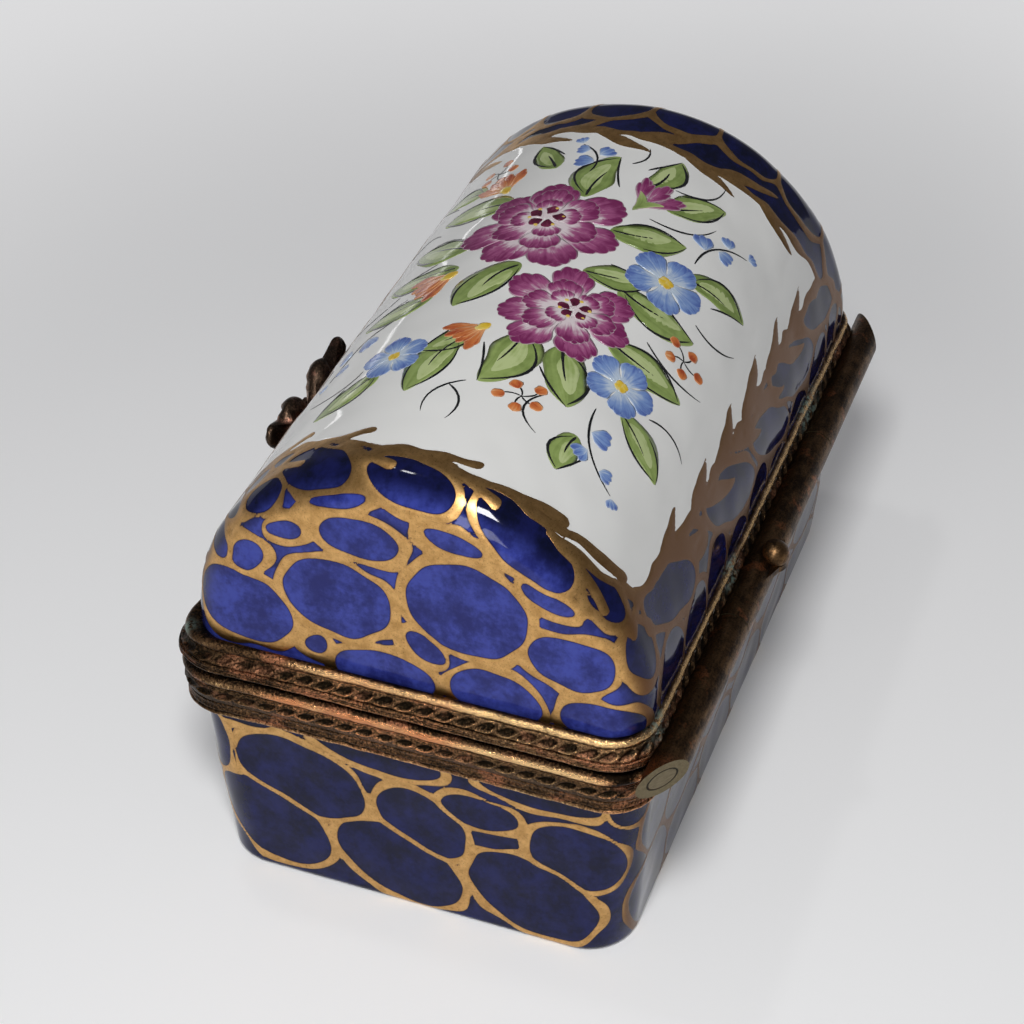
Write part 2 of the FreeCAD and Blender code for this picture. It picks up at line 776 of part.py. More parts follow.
def build():
    make_porcelain_base()
    make_base_rim()
    make_base_rope()
    make_cement("base_cement", BASE_RIM_LOW, NECK_TOP, (NECK_X, NECK_Y, NECK_CORNER))
    make_end_knuckle("hinge_knuckle_near", 1)
    make_end_knuckle("hinge_knuckle_far", -1)
    make_hinge_pin()
    make_catch_plate()
    make_catch_bead()
    make_porcelain_lid()
    make_lid_rim()
    make_lid_rope()
    lid_bed_top = LID_SEAT + size("lid_bed_height")
    make_cement("lid_cement", LID_SEAT, lid_bed_top, (LID_X, VAULT_RADIUS, size("lid_edge_round")))
    make_centre_knuckle()
    make_stop_tab()
    make_stop_ball()
    make_clasp_ornament()
    make_clasp_bracket()
    make_clasp_rivets()
    doc.recompute()


def check():
    """Stop if an object failed, a cut took nothing away, or a piece isn't a valid shape."""
    for obj in doc.Objects:
        if "Invalid" in obj.State or "Error" in obj.State:
            raise RuntimeError(f"{obj.Name} failed: {obj.State}")
        if obj.TypeId in ("PartDesign::Pocket", "PartDesign::Groove", "PartDesign::SubtractiveLoft"):
            if not obj.Shape.Volume < obj.BaseFeature.Shape.Volume:
                raise RuntimeError(f"{obj.Name} cuts nothing")
    for label in PIECES:
        shape = doc.getObjectsByLabel(label)[0].Shape
        if shape.isNull() or not shape.isValid():
            raise RuntimeError(f"{label} has no valid shape")


def write():
    os.makedirs("parts", exist_ok=True)
    for label in PIECES:
        doc.getObjectsByLabel(label)[0].Shape.exportStep(f"parts/{label}.step")


build()
check()
write()
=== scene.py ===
import math

import bpy
import numpy as np
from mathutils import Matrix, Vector


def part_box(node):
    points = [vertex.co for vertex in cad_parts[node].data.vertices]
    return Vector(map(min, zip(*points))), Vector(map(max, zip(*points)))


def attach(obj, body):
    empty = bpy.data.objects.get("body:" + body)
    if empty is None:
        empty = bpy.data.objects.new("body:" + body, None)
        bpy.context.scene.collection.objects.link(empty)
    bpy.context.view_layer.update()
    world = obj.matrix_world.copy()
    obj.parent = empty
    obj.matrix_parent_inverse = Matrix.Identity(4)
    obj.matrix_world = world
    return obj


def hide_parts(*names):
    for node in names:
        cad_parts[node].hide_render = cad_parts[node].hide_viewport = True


# Porcelain keepsake box in the form of a round-topped chest: cobalt glaze under a net of gold, a
# white reserve with an enamel spray on the vault, and aged brass rims, hinge and clasp.
# Sizes are millimetres and become metres as each mesh is made. +X is the gable near the camera,
# -Y the front with the clasp, +Y the hinge side, +Z up.

MM = 0.001
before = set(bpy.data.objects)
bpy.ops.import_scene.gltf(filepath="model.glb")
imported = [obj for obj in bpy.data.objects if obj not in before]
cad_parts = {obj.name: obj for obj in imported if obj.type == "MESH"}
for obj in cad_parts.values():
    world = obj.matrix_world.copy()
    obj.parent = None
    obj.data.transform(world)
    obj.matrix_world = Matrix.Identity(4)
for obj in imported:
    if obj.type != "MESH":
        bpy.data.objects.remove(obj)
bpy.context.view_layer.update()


def box_mm(node):
    low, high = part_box(node)
    return np.array(low) / MM, np.array(high) / MM


BASE_HIGH = box_mm("porcelain_base")[1]
LID_LOW, LID_HIGH = box_mm("porcelain_lid")
TUBE_LOW, TUBE_HIGH = box_mm("hinge_knuckle_centre")

# Outermost outline of the brass rims
BAND_X, BAND_Y = box_mm("lid_rim")[1][:2]
BAND_CORNER = 4.2
OPENING_CORNER = 2.2

# Hinge axis and the channel that the rims leave for the tubes
HINGE_Y = (TUBE_LOW[1] + TUBE_HIGH[1]) / 2
HINGE_Z = (TUBE_LOW[2] + TUBE_HIGH[2]) / 2
TUBE_RADIUS = (TUBE_HIGH[2] - TUBE_LOW[2]) / 2
CHANNEL_RADIUS = TUBE_RADIUS + 0.1
PIN_RADIUS = 0.7
# Stretch of x over which the tube's near end reddens
REDDER_FROM, REDDER_TO = 27.2, 28.8

# Lid: a barrel vault with round shoulders and gables that lean inwards
LID_X, VAULT_RADIUS = LID_HIGH[0], LID_HIGH[1]
LID_SEAT, LID_TOP = LID_LOW[2], LID_HIGH[2]
VAULT_Z = LID_TOP - VAULT_RADIUS
SHOULDER = 3.0
GABLE_LEAN = 0.6
LID_WALL = 2.1
INNER_SHOULDER = 1.2
# How far from a gable's middle the last row of points stays
GABLE_SLIT = 0.25

# Base: foot, shoulder and neck of the bowl
FOOT = (28.7, 16.55, 4.0)
BASE_SHOULDER = (BASE_HIGH[0], BASE_HIGH[1], 2.92)
NECK = (BASE_HIGH[0] - 0.25, BASE_HIGH[1] - 0.25, 2.67)
FOOT_ROUND = 0.5
SHOULDER_Z = box_mm("base_rim")[0][2]
NECK_Z = BASE_HIGH[2]
MOUTH = (BAND_X - 3.63, BAND_Y - 3.63, OPENING_CORNER)
CAVITY_FLOOR = (26.1, 13.95, OPENING_CORNER)
CAVITY_ROUND = 1.2
FLOOR_Z = 2.8
UNDERSIDE_INSET = 12

# Mesh spacing
GLAZE_STEP = 0.25
RIM_STEP = 0.24
ROPE_STEP = 0.13
ROPE_RISE = 0.065
BEND_POINTS = 6
# Rows and columns of the lid's glaze for each one of its inside
COARSE = 3

# Gold stands this much proud of the glaze, and rises to it within this of its edge
GOLD_RELIEF, GOLD_EDGE = 0.035, 0.14


# Plain helpers

def smooth_step(value, low, high):
    share = np.clip((value - low) / (high - low), 0.0, 1.0)
    return share * share * (3 - 2 * share)


def ripple(points, pitch, seed, count=20):
    """Smooth noise of about unit height through space, as a sum of waves in random directions."""
    random = np.random.default_rng(seed)
    ways = random.normal(size=(count, points.shape[-1]))
    ways /= np.linalg.norm(ways, axis=1)[:, None]
    ways *= (math.tau / pitch) * random.uniform(0.6, 1.5, (count, 1))
    phases = random.uniform(0, math.tau, count)
    return np.sin(points @ ways.T + phases).sum(axis=-1) * math.sqrt(2 / count)


def grid_faces(rows, columns, closed_rows=False, closed_columns=False, first=0):
    """Quads of a grid of points that is stored row by row."""
    i, j = np.meshgrid(np.arange(rows if closed_rows else rows - 1),
                       np.arange(columns if closed_columns else columns - 1), indexing="ij")
    below = (i + 1) % rows
    right = (j + 1) % columns
    corners = [i * columns + j, i * columns + right, below * columns + right, below * columns + j]
    return (np.stack([c.ravel() for c in corners], axis=1) + first).tolist()


def flipped(faces, flip=True):
    """The faces turned over, or as they are where flip is False."""
    return [face[::-1] for face in faces] if flip else faces


def samples(u_from, u_to, v_from, v_to, step):
    """Places on a square grid."""
    grid = np.meshgrid(np.arange(u_from, u_to, step), np.arange(v_from, v_to, step))
    return np.stack(grid, axis=-1).reshape(-1, 2)


def wavering(place, pitch, seed):
    """A sideways ripple in both directions of a painted place."""
    return np.stack([ripple(place, pitch, seed), ripple(place, pitch, seed + 1)], axis=-1)


def left_of(vectors):
    """Vectors in a plane, turned a quarter to their left."""
    return np.stack([-vectors[..., 1], vectors[..., 0]], axis=-1)


def way(angle):
    """The unit vector in a plane at this angle."""
    return np.array([math.cos(angle), math.sin(angle)])


def gold_relief(net):
    return GOLD_RELIEF * smooth_step(net, 0.0, GOLD_EDGE)


def make_piece(name, points, faces, material, body, replaced=(), fields=None):
    """A smooth mesh from points in millimetres, with a value per point for each named field."""
    mesh = bpy.data.meshes.new(name)
    mesh.from_pydata((np.asarray(points) * MM).tolist(), [], faces)
    for field, values in (fields or {}).items():
        attribute = mesh.attributes.new(field, "FLOAT", "POINT")
        attribute.data.foreach_set("value", np.asarray(values, dtype=np.float32))
    mesh.polygons.foreach_set("use_smooth", [True] * len(mesh.polygons))
    mesh.materials.append(material)
    mesh.update()
    piece = bpy.data.objects.new(name, mesh)
    bpy.context.scene.collection.objects.link(piece)
    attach(piece, body)
    if replaced:
        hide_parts(*replaced)


# Materials

class Finish:
    """A material's nodes, with short ways to add and join them. Lengths are in millimetres."""

    def __init__(self, name):
        self.material = bpy.data.materials.new(name)
        self.material.use_nodes = True
        self.tree = self.material.node_tree
        self.tree.nodes.clear()
        self.shader = self.node("BsdfPrincipled")
        self.output = self.tree.nodes.new("ShaderNodeOutputMaterial")
        self.put(self.shader.outputs["BSDF"], self.output.inputs["Surface"])
        coordinates = self.node("TexCoord").outputs
        self.place, self.facing = coordinates["Object"], coordinates["Normal"]

    def put(self, value, socket):
        if isinstance(value, bpy.types.NodeSocket):
            self.tree.links.new(value, socket)
        elif isinstance(value, tuple) and len(value) == 3 and socket.type == "RGBA":
            socket.default_value = (*value, 1.0)
        else:
            socket.default_value = value

    def node(self, kind, inputs=(), **settings):
        """A new node with these settings, and these inputs by number or name."""
        node = self.tree.nodes.new("ShaderNode" + kind)
        for name, value in settings.items():
            setattr(node, name, value)
        for key, value in dict(inputs).items():
            self.put(value, node.inputs[key])
        return node

    def calc(self, operation, *values):
        return self.node("Math", enumerate(values), operation=operation).outputs[0]

    def times(self, first, second):
        return self.calc("MULTIPLY", first, second)

    def total(self, *terms):
        """The sum of values by their weights."""
        result = 0.0
        for value, weight in terms:
            result = self.calc("MULTIPLY_ADD", value, weight, result)
        return result

    def field(self, name):
        return self.node("Attribute", attribute_name=name).outputs["Fac"]

    def step(self, value, low, high, out_low=0.0, out_high=1.0):
        inputs = enumerate((value, low, high, out_low, out_high))
        return self.node("MapRange", inputs, interpolation_type="SMOOTHSTEP").outputs[0]

    def stretch(self, x, y, z):
        return self.node("VectorMath", {0: self.place, 1: (x, y, z)}, operation="MULTIPLY").outputs[0]

    def noise(self, feature, detail=3.0, rough=0.55, place=None, unit=MM):
        inputs = {"Vector": place or self.place, "Scale": 1 / (feature * unit), "Detail": detail,
                  "Roughness": rough}
        return self.node("TexNoise", inputs).outputs["Fac"]

    def mix(self, share, first, second):
        inputs = {0: share, 6: first, 7: second}
        return self.node("Mix", inputs, data_type="RGBA", clamp_factor=True).outputs[2]

    def along(self, vector, axis):
        """The size of a vector's part along an axis, by its number."""
        return self.calc("ABSOLUTE", self.node("SeparateXYZ", {0: vector}).outputs[axis])

    def bump(self, height, depth, *under):
        inputs = {"Height": height, "Distance": depth * MM}
        inputs.update({"Normal": normal for normal in under})
        return self.node("Bump", inputs).outputs["Normal"]

    def done(self, **values):
        for name, value in values.items():
            self.put(value, self.shader.inputs[name.replace("_", " ")])
        return self.material


def glaze_finish():
    """Cobalt, gilding and white, told apart by the fields gilt and white (mm inside their edge).

    A further field says where the cobalt is lighter, from 0 to 1.
    """
    f = Finish("painted_glaze")
    gilt = f.field("gilt")
    clouds = f.step(f.total((f.noise(2.6, 4.0, 0.6), 0.7), (f.noise(0.5, 3.0, 0.65), 0.3)), 0.36, 0.66)
    deep = f.mix(clouds, (0.002, 0.003, 0.014), (0.006, 0.008, 0.056))
    light = f.mix(clouds, (0.014, 0.018, 0.125), (0.043, 0.060, 0.32))
    cobalt = f.mix(f.field("pale_cobalt"), deep, light)
    cobalt = f.mix(f.step(gilt, -0.11, -0.03, 0.0, 0.75), cobalt, (0.004, 0.004, 0.016))
    porcelain = f.mix(f.noise(9.0, 2.0), (0.66, 0.66, 0.64), (0.72, 0.72, 0.70))
    ground = f.mix(f.step(f.field("white"), -0.02, 0.02), cobalt, porcelain)
    gold = f.mix(f.step(f.noise(0.9, 4.0, 0.7), 0.25, 0.75), (0.46, 0.255, 0.084), (0.72, 0.43, 0.165))
    gold = f.mix(f.step(f.noise(0.16, 3.0, 0.75), 0.56, 0.68, 0.0, 0.55), gold, (0.12, 0.055, 0.02))
    gold = f.mix(f.step(gilt, 0.0, 0.10, 0.65, 0.0), gold, (0.34, 0.175, 0.062))
    # Painted shade: the gold is darkened to dull brown where the surface faces the long sides, as gold seen
    # in shade
    gold = f.mix(f.step(f.along(f.facing, 1), 0.55, 0.92), gold, (0.145, 0.068, 0.027))
    on_gold = f.step(gilt, -0.012, 0.012)
    rough = f.total((on_gold, 0.30), (f.step(f.noise(3.0, 2.0), 0.3, 0.7, 0.04, 0.07), 1.0))
    normal = f.bump(f.noise(1.6, 2.0, 0.5), 0.005)
    normal = f.bump(f.times(f.noise(0.11, 3.0, 0.7), on_gold), 0.014, normal)
    return f.done(Base_Color=f.mix(on_gold, ground, gold), Roughness=rough, Metallic=on_gold,
                  Normal=normal, Specular_IOR_Level=0.20)


def brass_finish(name, low, high, worn, reddish, grain=0.04):
    """Aged brass: dark in the hollows, brighter where the field wear is high, with reddish patches.

    The field verdigris marks green and pale corrosion, and copper where the gilding is gone. Where wear is
    pushed below 0 the dark is a painted shadow.
    """
    f = Finish(name)
    speckle = f.noise(0.18, 3.0, 0.75)
    bright = f.total((f.field("wear"), 1.05), (speckle, 2.2), (f.noise(2.6, 4.0, 0.65), 0.55), (1.0, -0.55))
    colour = f.mix(f.step(bright, 0.75, 1.45), low, high)
    colour = f.mix(f.step(bright, 1.35, 2.0), colour, worn)
    colour = f.mix(f.times(f.field("copper"), f.step(bright, 1.1, 1.7)), colour, (0.62, 0.25, 0.105))
    patches = f.step(f.noise(3.0, 3.0, 0.6, f.stretch(0.7, 0.7, 1.6)), 0.50, 0.68, 0.0, 0.85)
    colour = f.mix(f.times(patches, f.step(speckle, 0.35, 0.6)), colour, reddish)
    green = f.times(f.field("verdigris"), f.step(f.noise(0.5, 4.0, 0.7), 0.40, 0.58))
    colour = f.mix(green, colour, f.mix(f.noise(0.9), (0.02, 0.085, 0.06), (0.30, 0.36, 0.32)))
    return f.done(Base_Color=colour, Roughness=f.step(bright, 0.8, 1.9, 0.42, 0.20),
                  Metallic=f.total((1.0, 1.0), (green, -0.8)),
                  Normal=f.bump(f.noise(0.5, 2.0), grain, f.bump(speckle, grain)))


def tube_finish(name, end=1.0):
    """Brown drawn tube with scratches along it and copper patches, redder near the camera.

    end is 1 where the tube's end is filed dull, with a dark ring round the pin.
    """
    f = Finish(name)
    scratches = f.noise(0.4, 4.0, 0.65, f.stretch(0.2, 1.0, 1.0))
    speckle = f.noise(0.15, 3.0, 0.75)
    bright = f.total((f.noise(1.7, 4.0, 0.65), 0.55), (scratches, 0.45), (speckle, 0.5), (1.0, -0.25))
    colour = f.mix(f.step(bright, 0.36, 0.72), (0.024, 0.014, 0.008), (0.20, 0.112, 0.050))
    x = f.node("SeparateXYZ", {0: f.place}).outputs[0]
    near_end = f.step(x, REDDER_FROM * MM, REDDER_TO * MM, 0.0, 0.8)
    rust = f.calc("MAXIMUM", f.step(f.noise(1.6, 3.0, 0.6), 0.55, 0.68, 0.0, 0.9), near_end)
    colour = f.mix(f.times(rust, f.step(speckle, 0.35, 0.6)), colour, (0.34, 0.13, 0.055))
    filed = f.step(f.along(f.facing, 0), 0.5, 0.56, 0.0, end)
    marks = f.noise(0.2, 3.0, 0.7, f.stretch(1.0, 0.3, 1.0))
    colour = f.mix(filed, colour, f.mix(marks, (0.08, 0.062, 0.032), (0.27, 0.22, 0.13)))
    axis = (0.0, HINGE_Y * MM, HINGE_Z * MM)
    from_axis = f.node("VectorMath", {0: f.stretch(0.0, 1.0, 1.0), 1: axis}, operation="DISTANCE")
    ring = f.calc("SUBTRACT", from_axis.outputs["Value"], (PIN_RADIUS + 0.05) * MM)
    ring = f.step(f.calc("ABSOLUTE", ring), 0.03 * MM, 0.08 * MM, 0.92, 0.0)
    colour = f.mix(f.times(filed, ring), colour, (0.010, 0.008, 0.005))
    rough = f.calc("MAXIMUM", f.step(bright, 0.3, 0.8, 0.48, 0.27), f.times(filed, 0.5))
    return f.done(Base_Color=colour, Roughness=rough, Metallic=1.0,
                  Normal=f.bump(f.noise(0.22, 3.0, 0.75), 0.03, f.bump(scratches, 0.02)))


def pin_finish():
    """Pin end, filed flush and dull, with fine marks."""
    f = Finish("filed_pin")
    marks = f.noise(0.12, 3.0, 0.6, f.stretch(0.25, 0.25, 1.0))
    colour = f.mix(marks, (0.09, 0.072, 0.040), (0.27, 0.22, 0.135))
    return f.done(Base_Color=colour, Roughness=0.5, Metallic=0.85, Normal=f.bump(marks, 0.012))


def plaster_finish():
    f = Finish("plaster")
    grain = f.noise(0.3, 4.0, 0.7)
    colour = f.mix(grain, (0.55, 0.52, 0.45), (0.74, 0.71, 0.64))
    return f.done(Base_Color=colour, Roughness=0.9, Normal=f.bump(grain, 0.03))


def enamel_finish(name, deep, pale, faded):
    """Enamel laid on with a brush. Fields: along runs from deep to faded, across and tone carry
    the streaks, and inset is the distance in mm from the stroke's edge, where it thins out.
    """
    f = Finish(name)
    along, tone = f.field("along"), f.field("tone")
    place = f.node("CombineXYZ", enumerate((f.times(along, 0.9), f.times(f.field("across"), 2.6),
                                            f.times(tone, 9.0)))).outputs[0]
    streaks = f.noise(1.0, 3.0, 0.6, place, unit=1.0)
    pools = f.noise(0.9, 2.0, 0.5)
    wash = f.total((along, 0.8), (tone, 0.22), (streaks, 1.0), (pools, 0.7), (1.0, -0.85))
    colour = f.mix(f.step(wash, 0.05, 0.60), deep, pale)
    colour = f.mix(f.step(wash, 0.50, 1.05), colour, faded)
    inset = f.total((f.field("inset"), 1.0), (pools, 0.2), (1.0, -0.1))
    colour = f.mix(f.step(inset, 0.0, 0.2, 0.5, 0.0), colour, faded)
    return f.done(Base_Color=colour, Roughness=0.1, Specular_IOR_Level=0.4)


def ink_finish():
    f = Finish("ink_line")
    colour = f.mix(f.noise(0.8, 2.0), (0.004, 0.005, 0.006), (0.016, 0.017, 0.018))
    return f.done(Base_Color=colour, Roughness=0.15, Specular_IOR_Level=0.4)


GLAZE = glaze_finish()
RIM_BRASS = brass_finish("rim_brass", (0.008, 0.005, 0.003), (0.125, 0.068, 0.032),
                         (0.80, 0.52, 0.24), (0.40, 0.16, 0.08), 0.07)
ROPE_BRASS = brass_finish("rope_brass", (0.010, 0.007, 0.004), (0.120, 0.068, 0.033),
                          (0.54, 0.34, 0.155), (0.34, 0.15, 0.08), 0.06)
CLASP_BRASS = brass_finish("clasp_brass", (0.048, 0.032, 0.022), (0.240, 0.145, 0.095),
                           (0.62, 0.36, 0.25), (0.58, 0.27, 0.19))
TUBE_BRASS = tube_finish("tube_brass")
BALL_BRASS = tube_finish("ball_brass", 0.0)
FILED_PIN = pin_finish()
PLASTER = plaster_finish()


# Pebble ground: cobalt ovals in a net of gold

# Ovals near the camera: centre, half length, half height, tilt in degrees.
# On the base the place is the distance round the wall from the middle of the near gable, and z.
BASE_OVALS = [
    (-15.2, 12.6, 3.5, 1.9, 85), (-12.3, 16.4, 3.0, 1.4, -10), (-8.1, 10.9, 4.7, 3.5, -22),
    (-2.4, 15.7, 4.5, 1.9, -8), (-11.3, 5.3, 5.0, 3.8, -33), (0.6, 9.3, 3.7, 2.8, -45),
    (4.7, 12.1, 2.7, 1.6, -4), (-1.1, 4.3, 5.1, 3.5, -26), (9.2, 4.6, 5.4, 3.6, -27),
    (12.1, 10.1, 4.0, 3.0, -18), (8.5, 15.7, 4.1, 1.5, -3), (15.6, 16.2, 2.3, 2.1, 0),
]
# On the near end of the lid the place is y and z with the round shoulder laid flat
CAP_OVALS = [
    (-8.4, 39.7, 3.7, 1.9, 6), (-0.3, 40.5, 3.5, 1.8, -11), (8.3, 38.0, 4.6, 2.1, -43),
    (14.4, 34.3, 2.4, 1.2, -57), (-11.8, 36.2, 2.1, 1.2, 42), (-5.2, 37.9, 2.3, 0.55, 18),
    (3.4, 36.7, 2.2, 0.8, -10), (10.2, 33.6, 2.1, 0.7, -24), (-9.3, 34.4, 1.5, 0.75, 15),
    (-12.3, 31.3, 1.5, 1.15, 40), (-3.5, 35.2, 3.0, 1.7, -3), (-12.9, 26.6, 4.0, 3.0, -14),
    (-5.4, 29.4, 4.1, 3.3, -4), (4.4, 31.1, 4.5, 3.9, -8), (1.3, 26.8, 1.8, 0.95, -32),
    (12.1, 28.6, 3.2, 2.2, -6), (-1.9, 23.4, 3.9, 2.1, 0), (6.6, 23.9, 3.5, 2.2, -10),
    (14.6, 23.8, 3.2, 1.8, -5), (-7.1, 24.7, 0.9, 0.8, 45), (17.7, 29.4, 2.5, 1.6, -62),
]
# On the vault below the white reserve, hinge side, the place is x and the distance up the wall
FLANK_OVALS = [
    (19.7, 6.3, 4.6, 1.9, 19), (14.5, 7.0, 2.3, 0.7, 21), (5.7, 4.9, 5.3, 2.0, 21),
    (-4.4, 3.8, 4.7, 1.7, 22), (-12.0, 4.7, 5.3, 2.0, 17), (-20.1, 5.4, 3.9, 1.4, 13),
]
# Width of the gold round an oval, and of the line that parts ovals where they touch
BASE_STROKE = 0.63
LID_STROKE = 0.76
LINE_BETWEEN = 0.45
# How light the base's cobalt is
BASE_COBALT_PALENESS = 0.11
# Ovals that settle by rule: the gap between them, their tilt and their length over their height
OVAL_GAP = 0.42
OVAL_TILT = math.radians(-22)
OVAL_STRETCH = 1.3
SETTLING_ROUNDS = 25
# Value of a field well outside its edge, and well inside
OUTSIDE, INSIDE = -9.0, 5.0


def oval_distances(place, ovals, around=None):
    """The distances from each place to the two nearest ovals' edges, negative inside an oval."""
    nearest = np.full(len(place), 1e3)
    second = np.full(len(place), 1e3)
    for u, v, a, b, tilt in ovals:
        du = place[:, 0] - u
        if around is not None:
            du = (du + around / 2) % around - around / 2
        dv = place[:, 1] - v
        turn = math.radians(tilt)
        p = (du * math.cos(turn) + dv * math.sin(turn)) / a
        q = (dv * math.cos(turn) - du * math.sin(turn)) / b
        size = np.sqrt(p * p + q * q) + 1e-6
        slope = np.sqrt((p / a) ** 2 + (q / b) ** 2) + 1e-6
        distance = size * (size - 1) / slope
        second = np.minimum(second, np.maximum(nearest, distance))
        nearest = np.minimum(nearest, distance)
    return nearest, second


def gold_net(place, ovals, stroke, around=None):
    """Millimetres inside the gold strokes that go round the ovals, negative in the cobalt."""
    nearest, second = oval_distances(place, ovals, around)
    between = LINE_BETWEEN / 2 - (second - nearest) / 2
    return np.minimum(np.maximum(nearest, between), stroke - nearest)


def settle_ovals(domain, fixed, count, seed, around=None):
    """Fill a domain, given as sample places, with more ovals between the fixed ones."""
    random = np.random.default_rng(seed)
    if fixed:
        taken, _ = oval_distances(domain, fixed, around)
        domain = domain[taken > OVAL_GAP]
    centres = domain[random.choice(len(domain), count, replace=False)]
    turn = np.array([[math.cos(OVAL_TILT), math.sin(OVAL_TILT)],
                     [-math.sin(OVAL_TILT), math.cos(OVAL_TILT)]])
    measure = np.diag([1 / OVAL_STRETCH, 1.0]) @ turn
    for _ in range(SETTLING_ROUNDS):
        away = domain[:, None, :] - centres[None, :, :]
        owner = np.argmin(((away @ measure.T) ** 2).sum(axis=-1), axis=1)
        for k in range(count):
            if np.any(owner == k):
                centres[k] = domain[owner == k].mean(axis=0)
    ovals = []
    for k in range(count):
        cell = domain[owner == k]
        if len(cell) < 8:
            continue
        spread, axes = np.linalg.eigh(np.cov(cell.T))
        half = 2 * np.sqrt(np.maximum(spread, 0.01)) - OVAL_GAP
        if half[0] > 0.4:
            tilt = math.degrees(math.atan2(axes[1, 1], axes[0, 1]))
            ovals.append((*cell.mean(axis=0), half[1], half[0], tilt))
    return ovals


# Lid

MERIDIAN = VAULT_RADIUS - SHOULDER + SHOULDER * math.pi / 2 + LID_X - SHOULDER

# Gold line round the white reserve, as places on the unrolled vault: distance along it from its
# middle, and distance round it from the crown towards the front
NEAR_LINE = [
    (24.2, -18.4), (26.0, -14.7), (26.2, -11.0), (25.6, -5.7), (25.2, -1.1), (24.9, 2.7),
    (23.9, 7.0), (23.1, 12.2), (23.3, 16.0), (23.8, 18.8),
]
FRONT_LINE = [(23.8, 18.8), (14.0, 19.3), (2.0, 18.9), (-10.0, 19.4), (-21.8, 18.9)]
FAR_LINE = [(-21.8, 18.9), (-21.6, 12.0), (-21.9, 6.8), (-21.4, -0.5), (-21.1, -5.8),
            (-20.8, -11.0), (-21.0, -16.0), (-21.8, -20.6)]
HINGE_LINE = [(-21.8, -20.6), (-14.0, -20.4), (-6.3, -20.1), (-0.4, -20.0), (4.9, -19.8),
              (13.2, -19.6), (19.7, -18.9), (24.2, -18.4)]
FRAME_LINES = (NEAR_LINE, FRONT_LINE, FAR_LINE, HINGE_LINE)
LINE_HALF_WIDTHS = (0.34, 0.40, 0.45, 0.48)

# Blunt strokes along the near line: from, to, half width at either end
BRUSHED_ENDS = [
    (24.0, 8.7, 22.9, 5.0, 0.25, 0.38), (24.6, 3.2, 24.3, -3.4, 0.30, 0.40),
    (25.9, -2.3, 24.7, -10.4, 0.28, 0.52), (25.9, -8.8, 24.1, -16.5, 0.28, 0.54),
    (23.2, 15.0, 21.9, 10.6, 0.25, 0.38), (24.6, 13.6, 25.6, 9.6, 0.25, 0.44),
    (25.0, 5.4, 26.6, 2.0, 0.26, 0.44), (25.4, -1.7, 26.9, -6.0, 0.28, 0.42),
    (26.4, -10.2, 27.4, -16.6, 0.28, 0.38), (24.6, -18.6, 26.6, -19.6, 0.30, 0.40),
]
# Pointed leaves along the other lines: root, tip, half width
GOLD_LEAVES = [
    (20.8, -19.4, 14.0, -17.6, 0.68), (14.2, -20.0, 7.2, -18.0, 0.70), (7.4, -20.0, 0.2, -18.0, 0.70),
    (0.8, -20.1, -6.6, -18.1, 0.70), (-5.6, -20.3, -12.4, -18.4, 0.66), (-12.0, -20.5, -18.0, -18.8, 0.60),
    (17.6, -19.4, 11.6, -21.7, 0.62), (10.8, -19.9, 4.2, -22.2, 0.62), (3.8, -20.0, -2.8, -22.3, 0.62),
    (-2.6, -20.2, -9.2, -22.5, 0.62), (-9.2, -20.5, -15.4, -22.6, 0.58),
    (-21.3, 17.0, -19.4, 11.4, 0.55), (-21.6, 10.6, -19.8, 4.6, 0.55), (-21.5, 3.6, -19.3, -2.4, 0.58),
    (-21.1, -4.0, -19.1, -9.8, 0.58), (-21.0, -11.2, -19.2, -16.8, 0.55), (-22.0, 14.0, -23.8, 8.4, 0.52),
    (-21.8, 7.2, -23.8, 1.6, 0.52), (-21.6, 0.0, -23.6, -5.6, 0.52), (-21.3, -7.4, -23.3, -13.0, 0.52),
    (20.4, 18.9, 13.4, 17.2, 0.66), (13.8, 19.3, 6.8, 17.4, 0.68), (6.6, 19.1, -0.4, 17.2, 0.68),
    (-0.4, 18.9, -7.4, 17.2, 0.68), (-7.0, 19.2, -13.8, 17.5, 0.66), (-13.6, 19.3, -19.2, 17.6, 0.58),
    (17.0, 19.2, 10.6, 21.4, 0.60), (10.0, 19.2, 3.4, 21.4, 0.60), (3.0, 19.0, -3.6, 21.2, 0.60),
    (-4.0, 19.1, -10.4, 21.4, 0.60), (-11.0, 19.4, -17.0, 21.4, 0.58),
]


def lid_surface(along, angle, drop, half_length, radius, shoulder, lean):
    """Points and outward normals of a vaulted shell.

    along is the distance from the middle over the shoulder and down the gable, angle goes round
    the vault from the hinge side, and drop is how far below the vault's axis a side's point lies.
    """
    side = np.where(along < 0, -1.0, 1.0)
    over = np.abs(along) - (half_length - shoulder)
    bend = np.clip(over / shoulder, 0, math.pi / 2)
    down = np.maximum(over - shoulder * math.pi / 2, 0)
    reach = radius - shoulder * (1 - np.cos(bend)) - down
    x = np.minimum(np.abs(along), half_length - shoulder) + shoulder * np.sin(bend)
    y = reach * np.cos(angle)
    z = VAULT_Z + reach * np.sin(angle) - drop
    x = x - lean * (z - LID_SEAT) / (LID_TOP - LID_SEAT) * x / half_length
    points = np.stack([side * x, y, z], axis=-1)
    normals = np.stack([side * np.sin(bend), np.cos(bend) * np.cos(angle),
                        np.cos(bend) * np.sin(angle)], axis=-1)
    return points, normals


def glaze_ripple(points):
    """How far the hand-made surface stands proud, in millimetres."""
    return 0.035 * ripple(points, 11.0, 3) + 0.012 * ripple(points, 4.0, 4)


def on_vault(x, across, lift):
    """A point on the vault's glaze: x along the box, across from the crown towards the front."""
    angle = math.pi / 2 + np.asarray(across) / VAULT_RADIUS
    points, normals = lid_surface(np.asarray(x), angle, 0.0, LID_X, VAULT_RADIUS, SHOULDER, GABLE_LEAN)
    return points + normals * (glaze_ripple(points) + lift)[..., None]


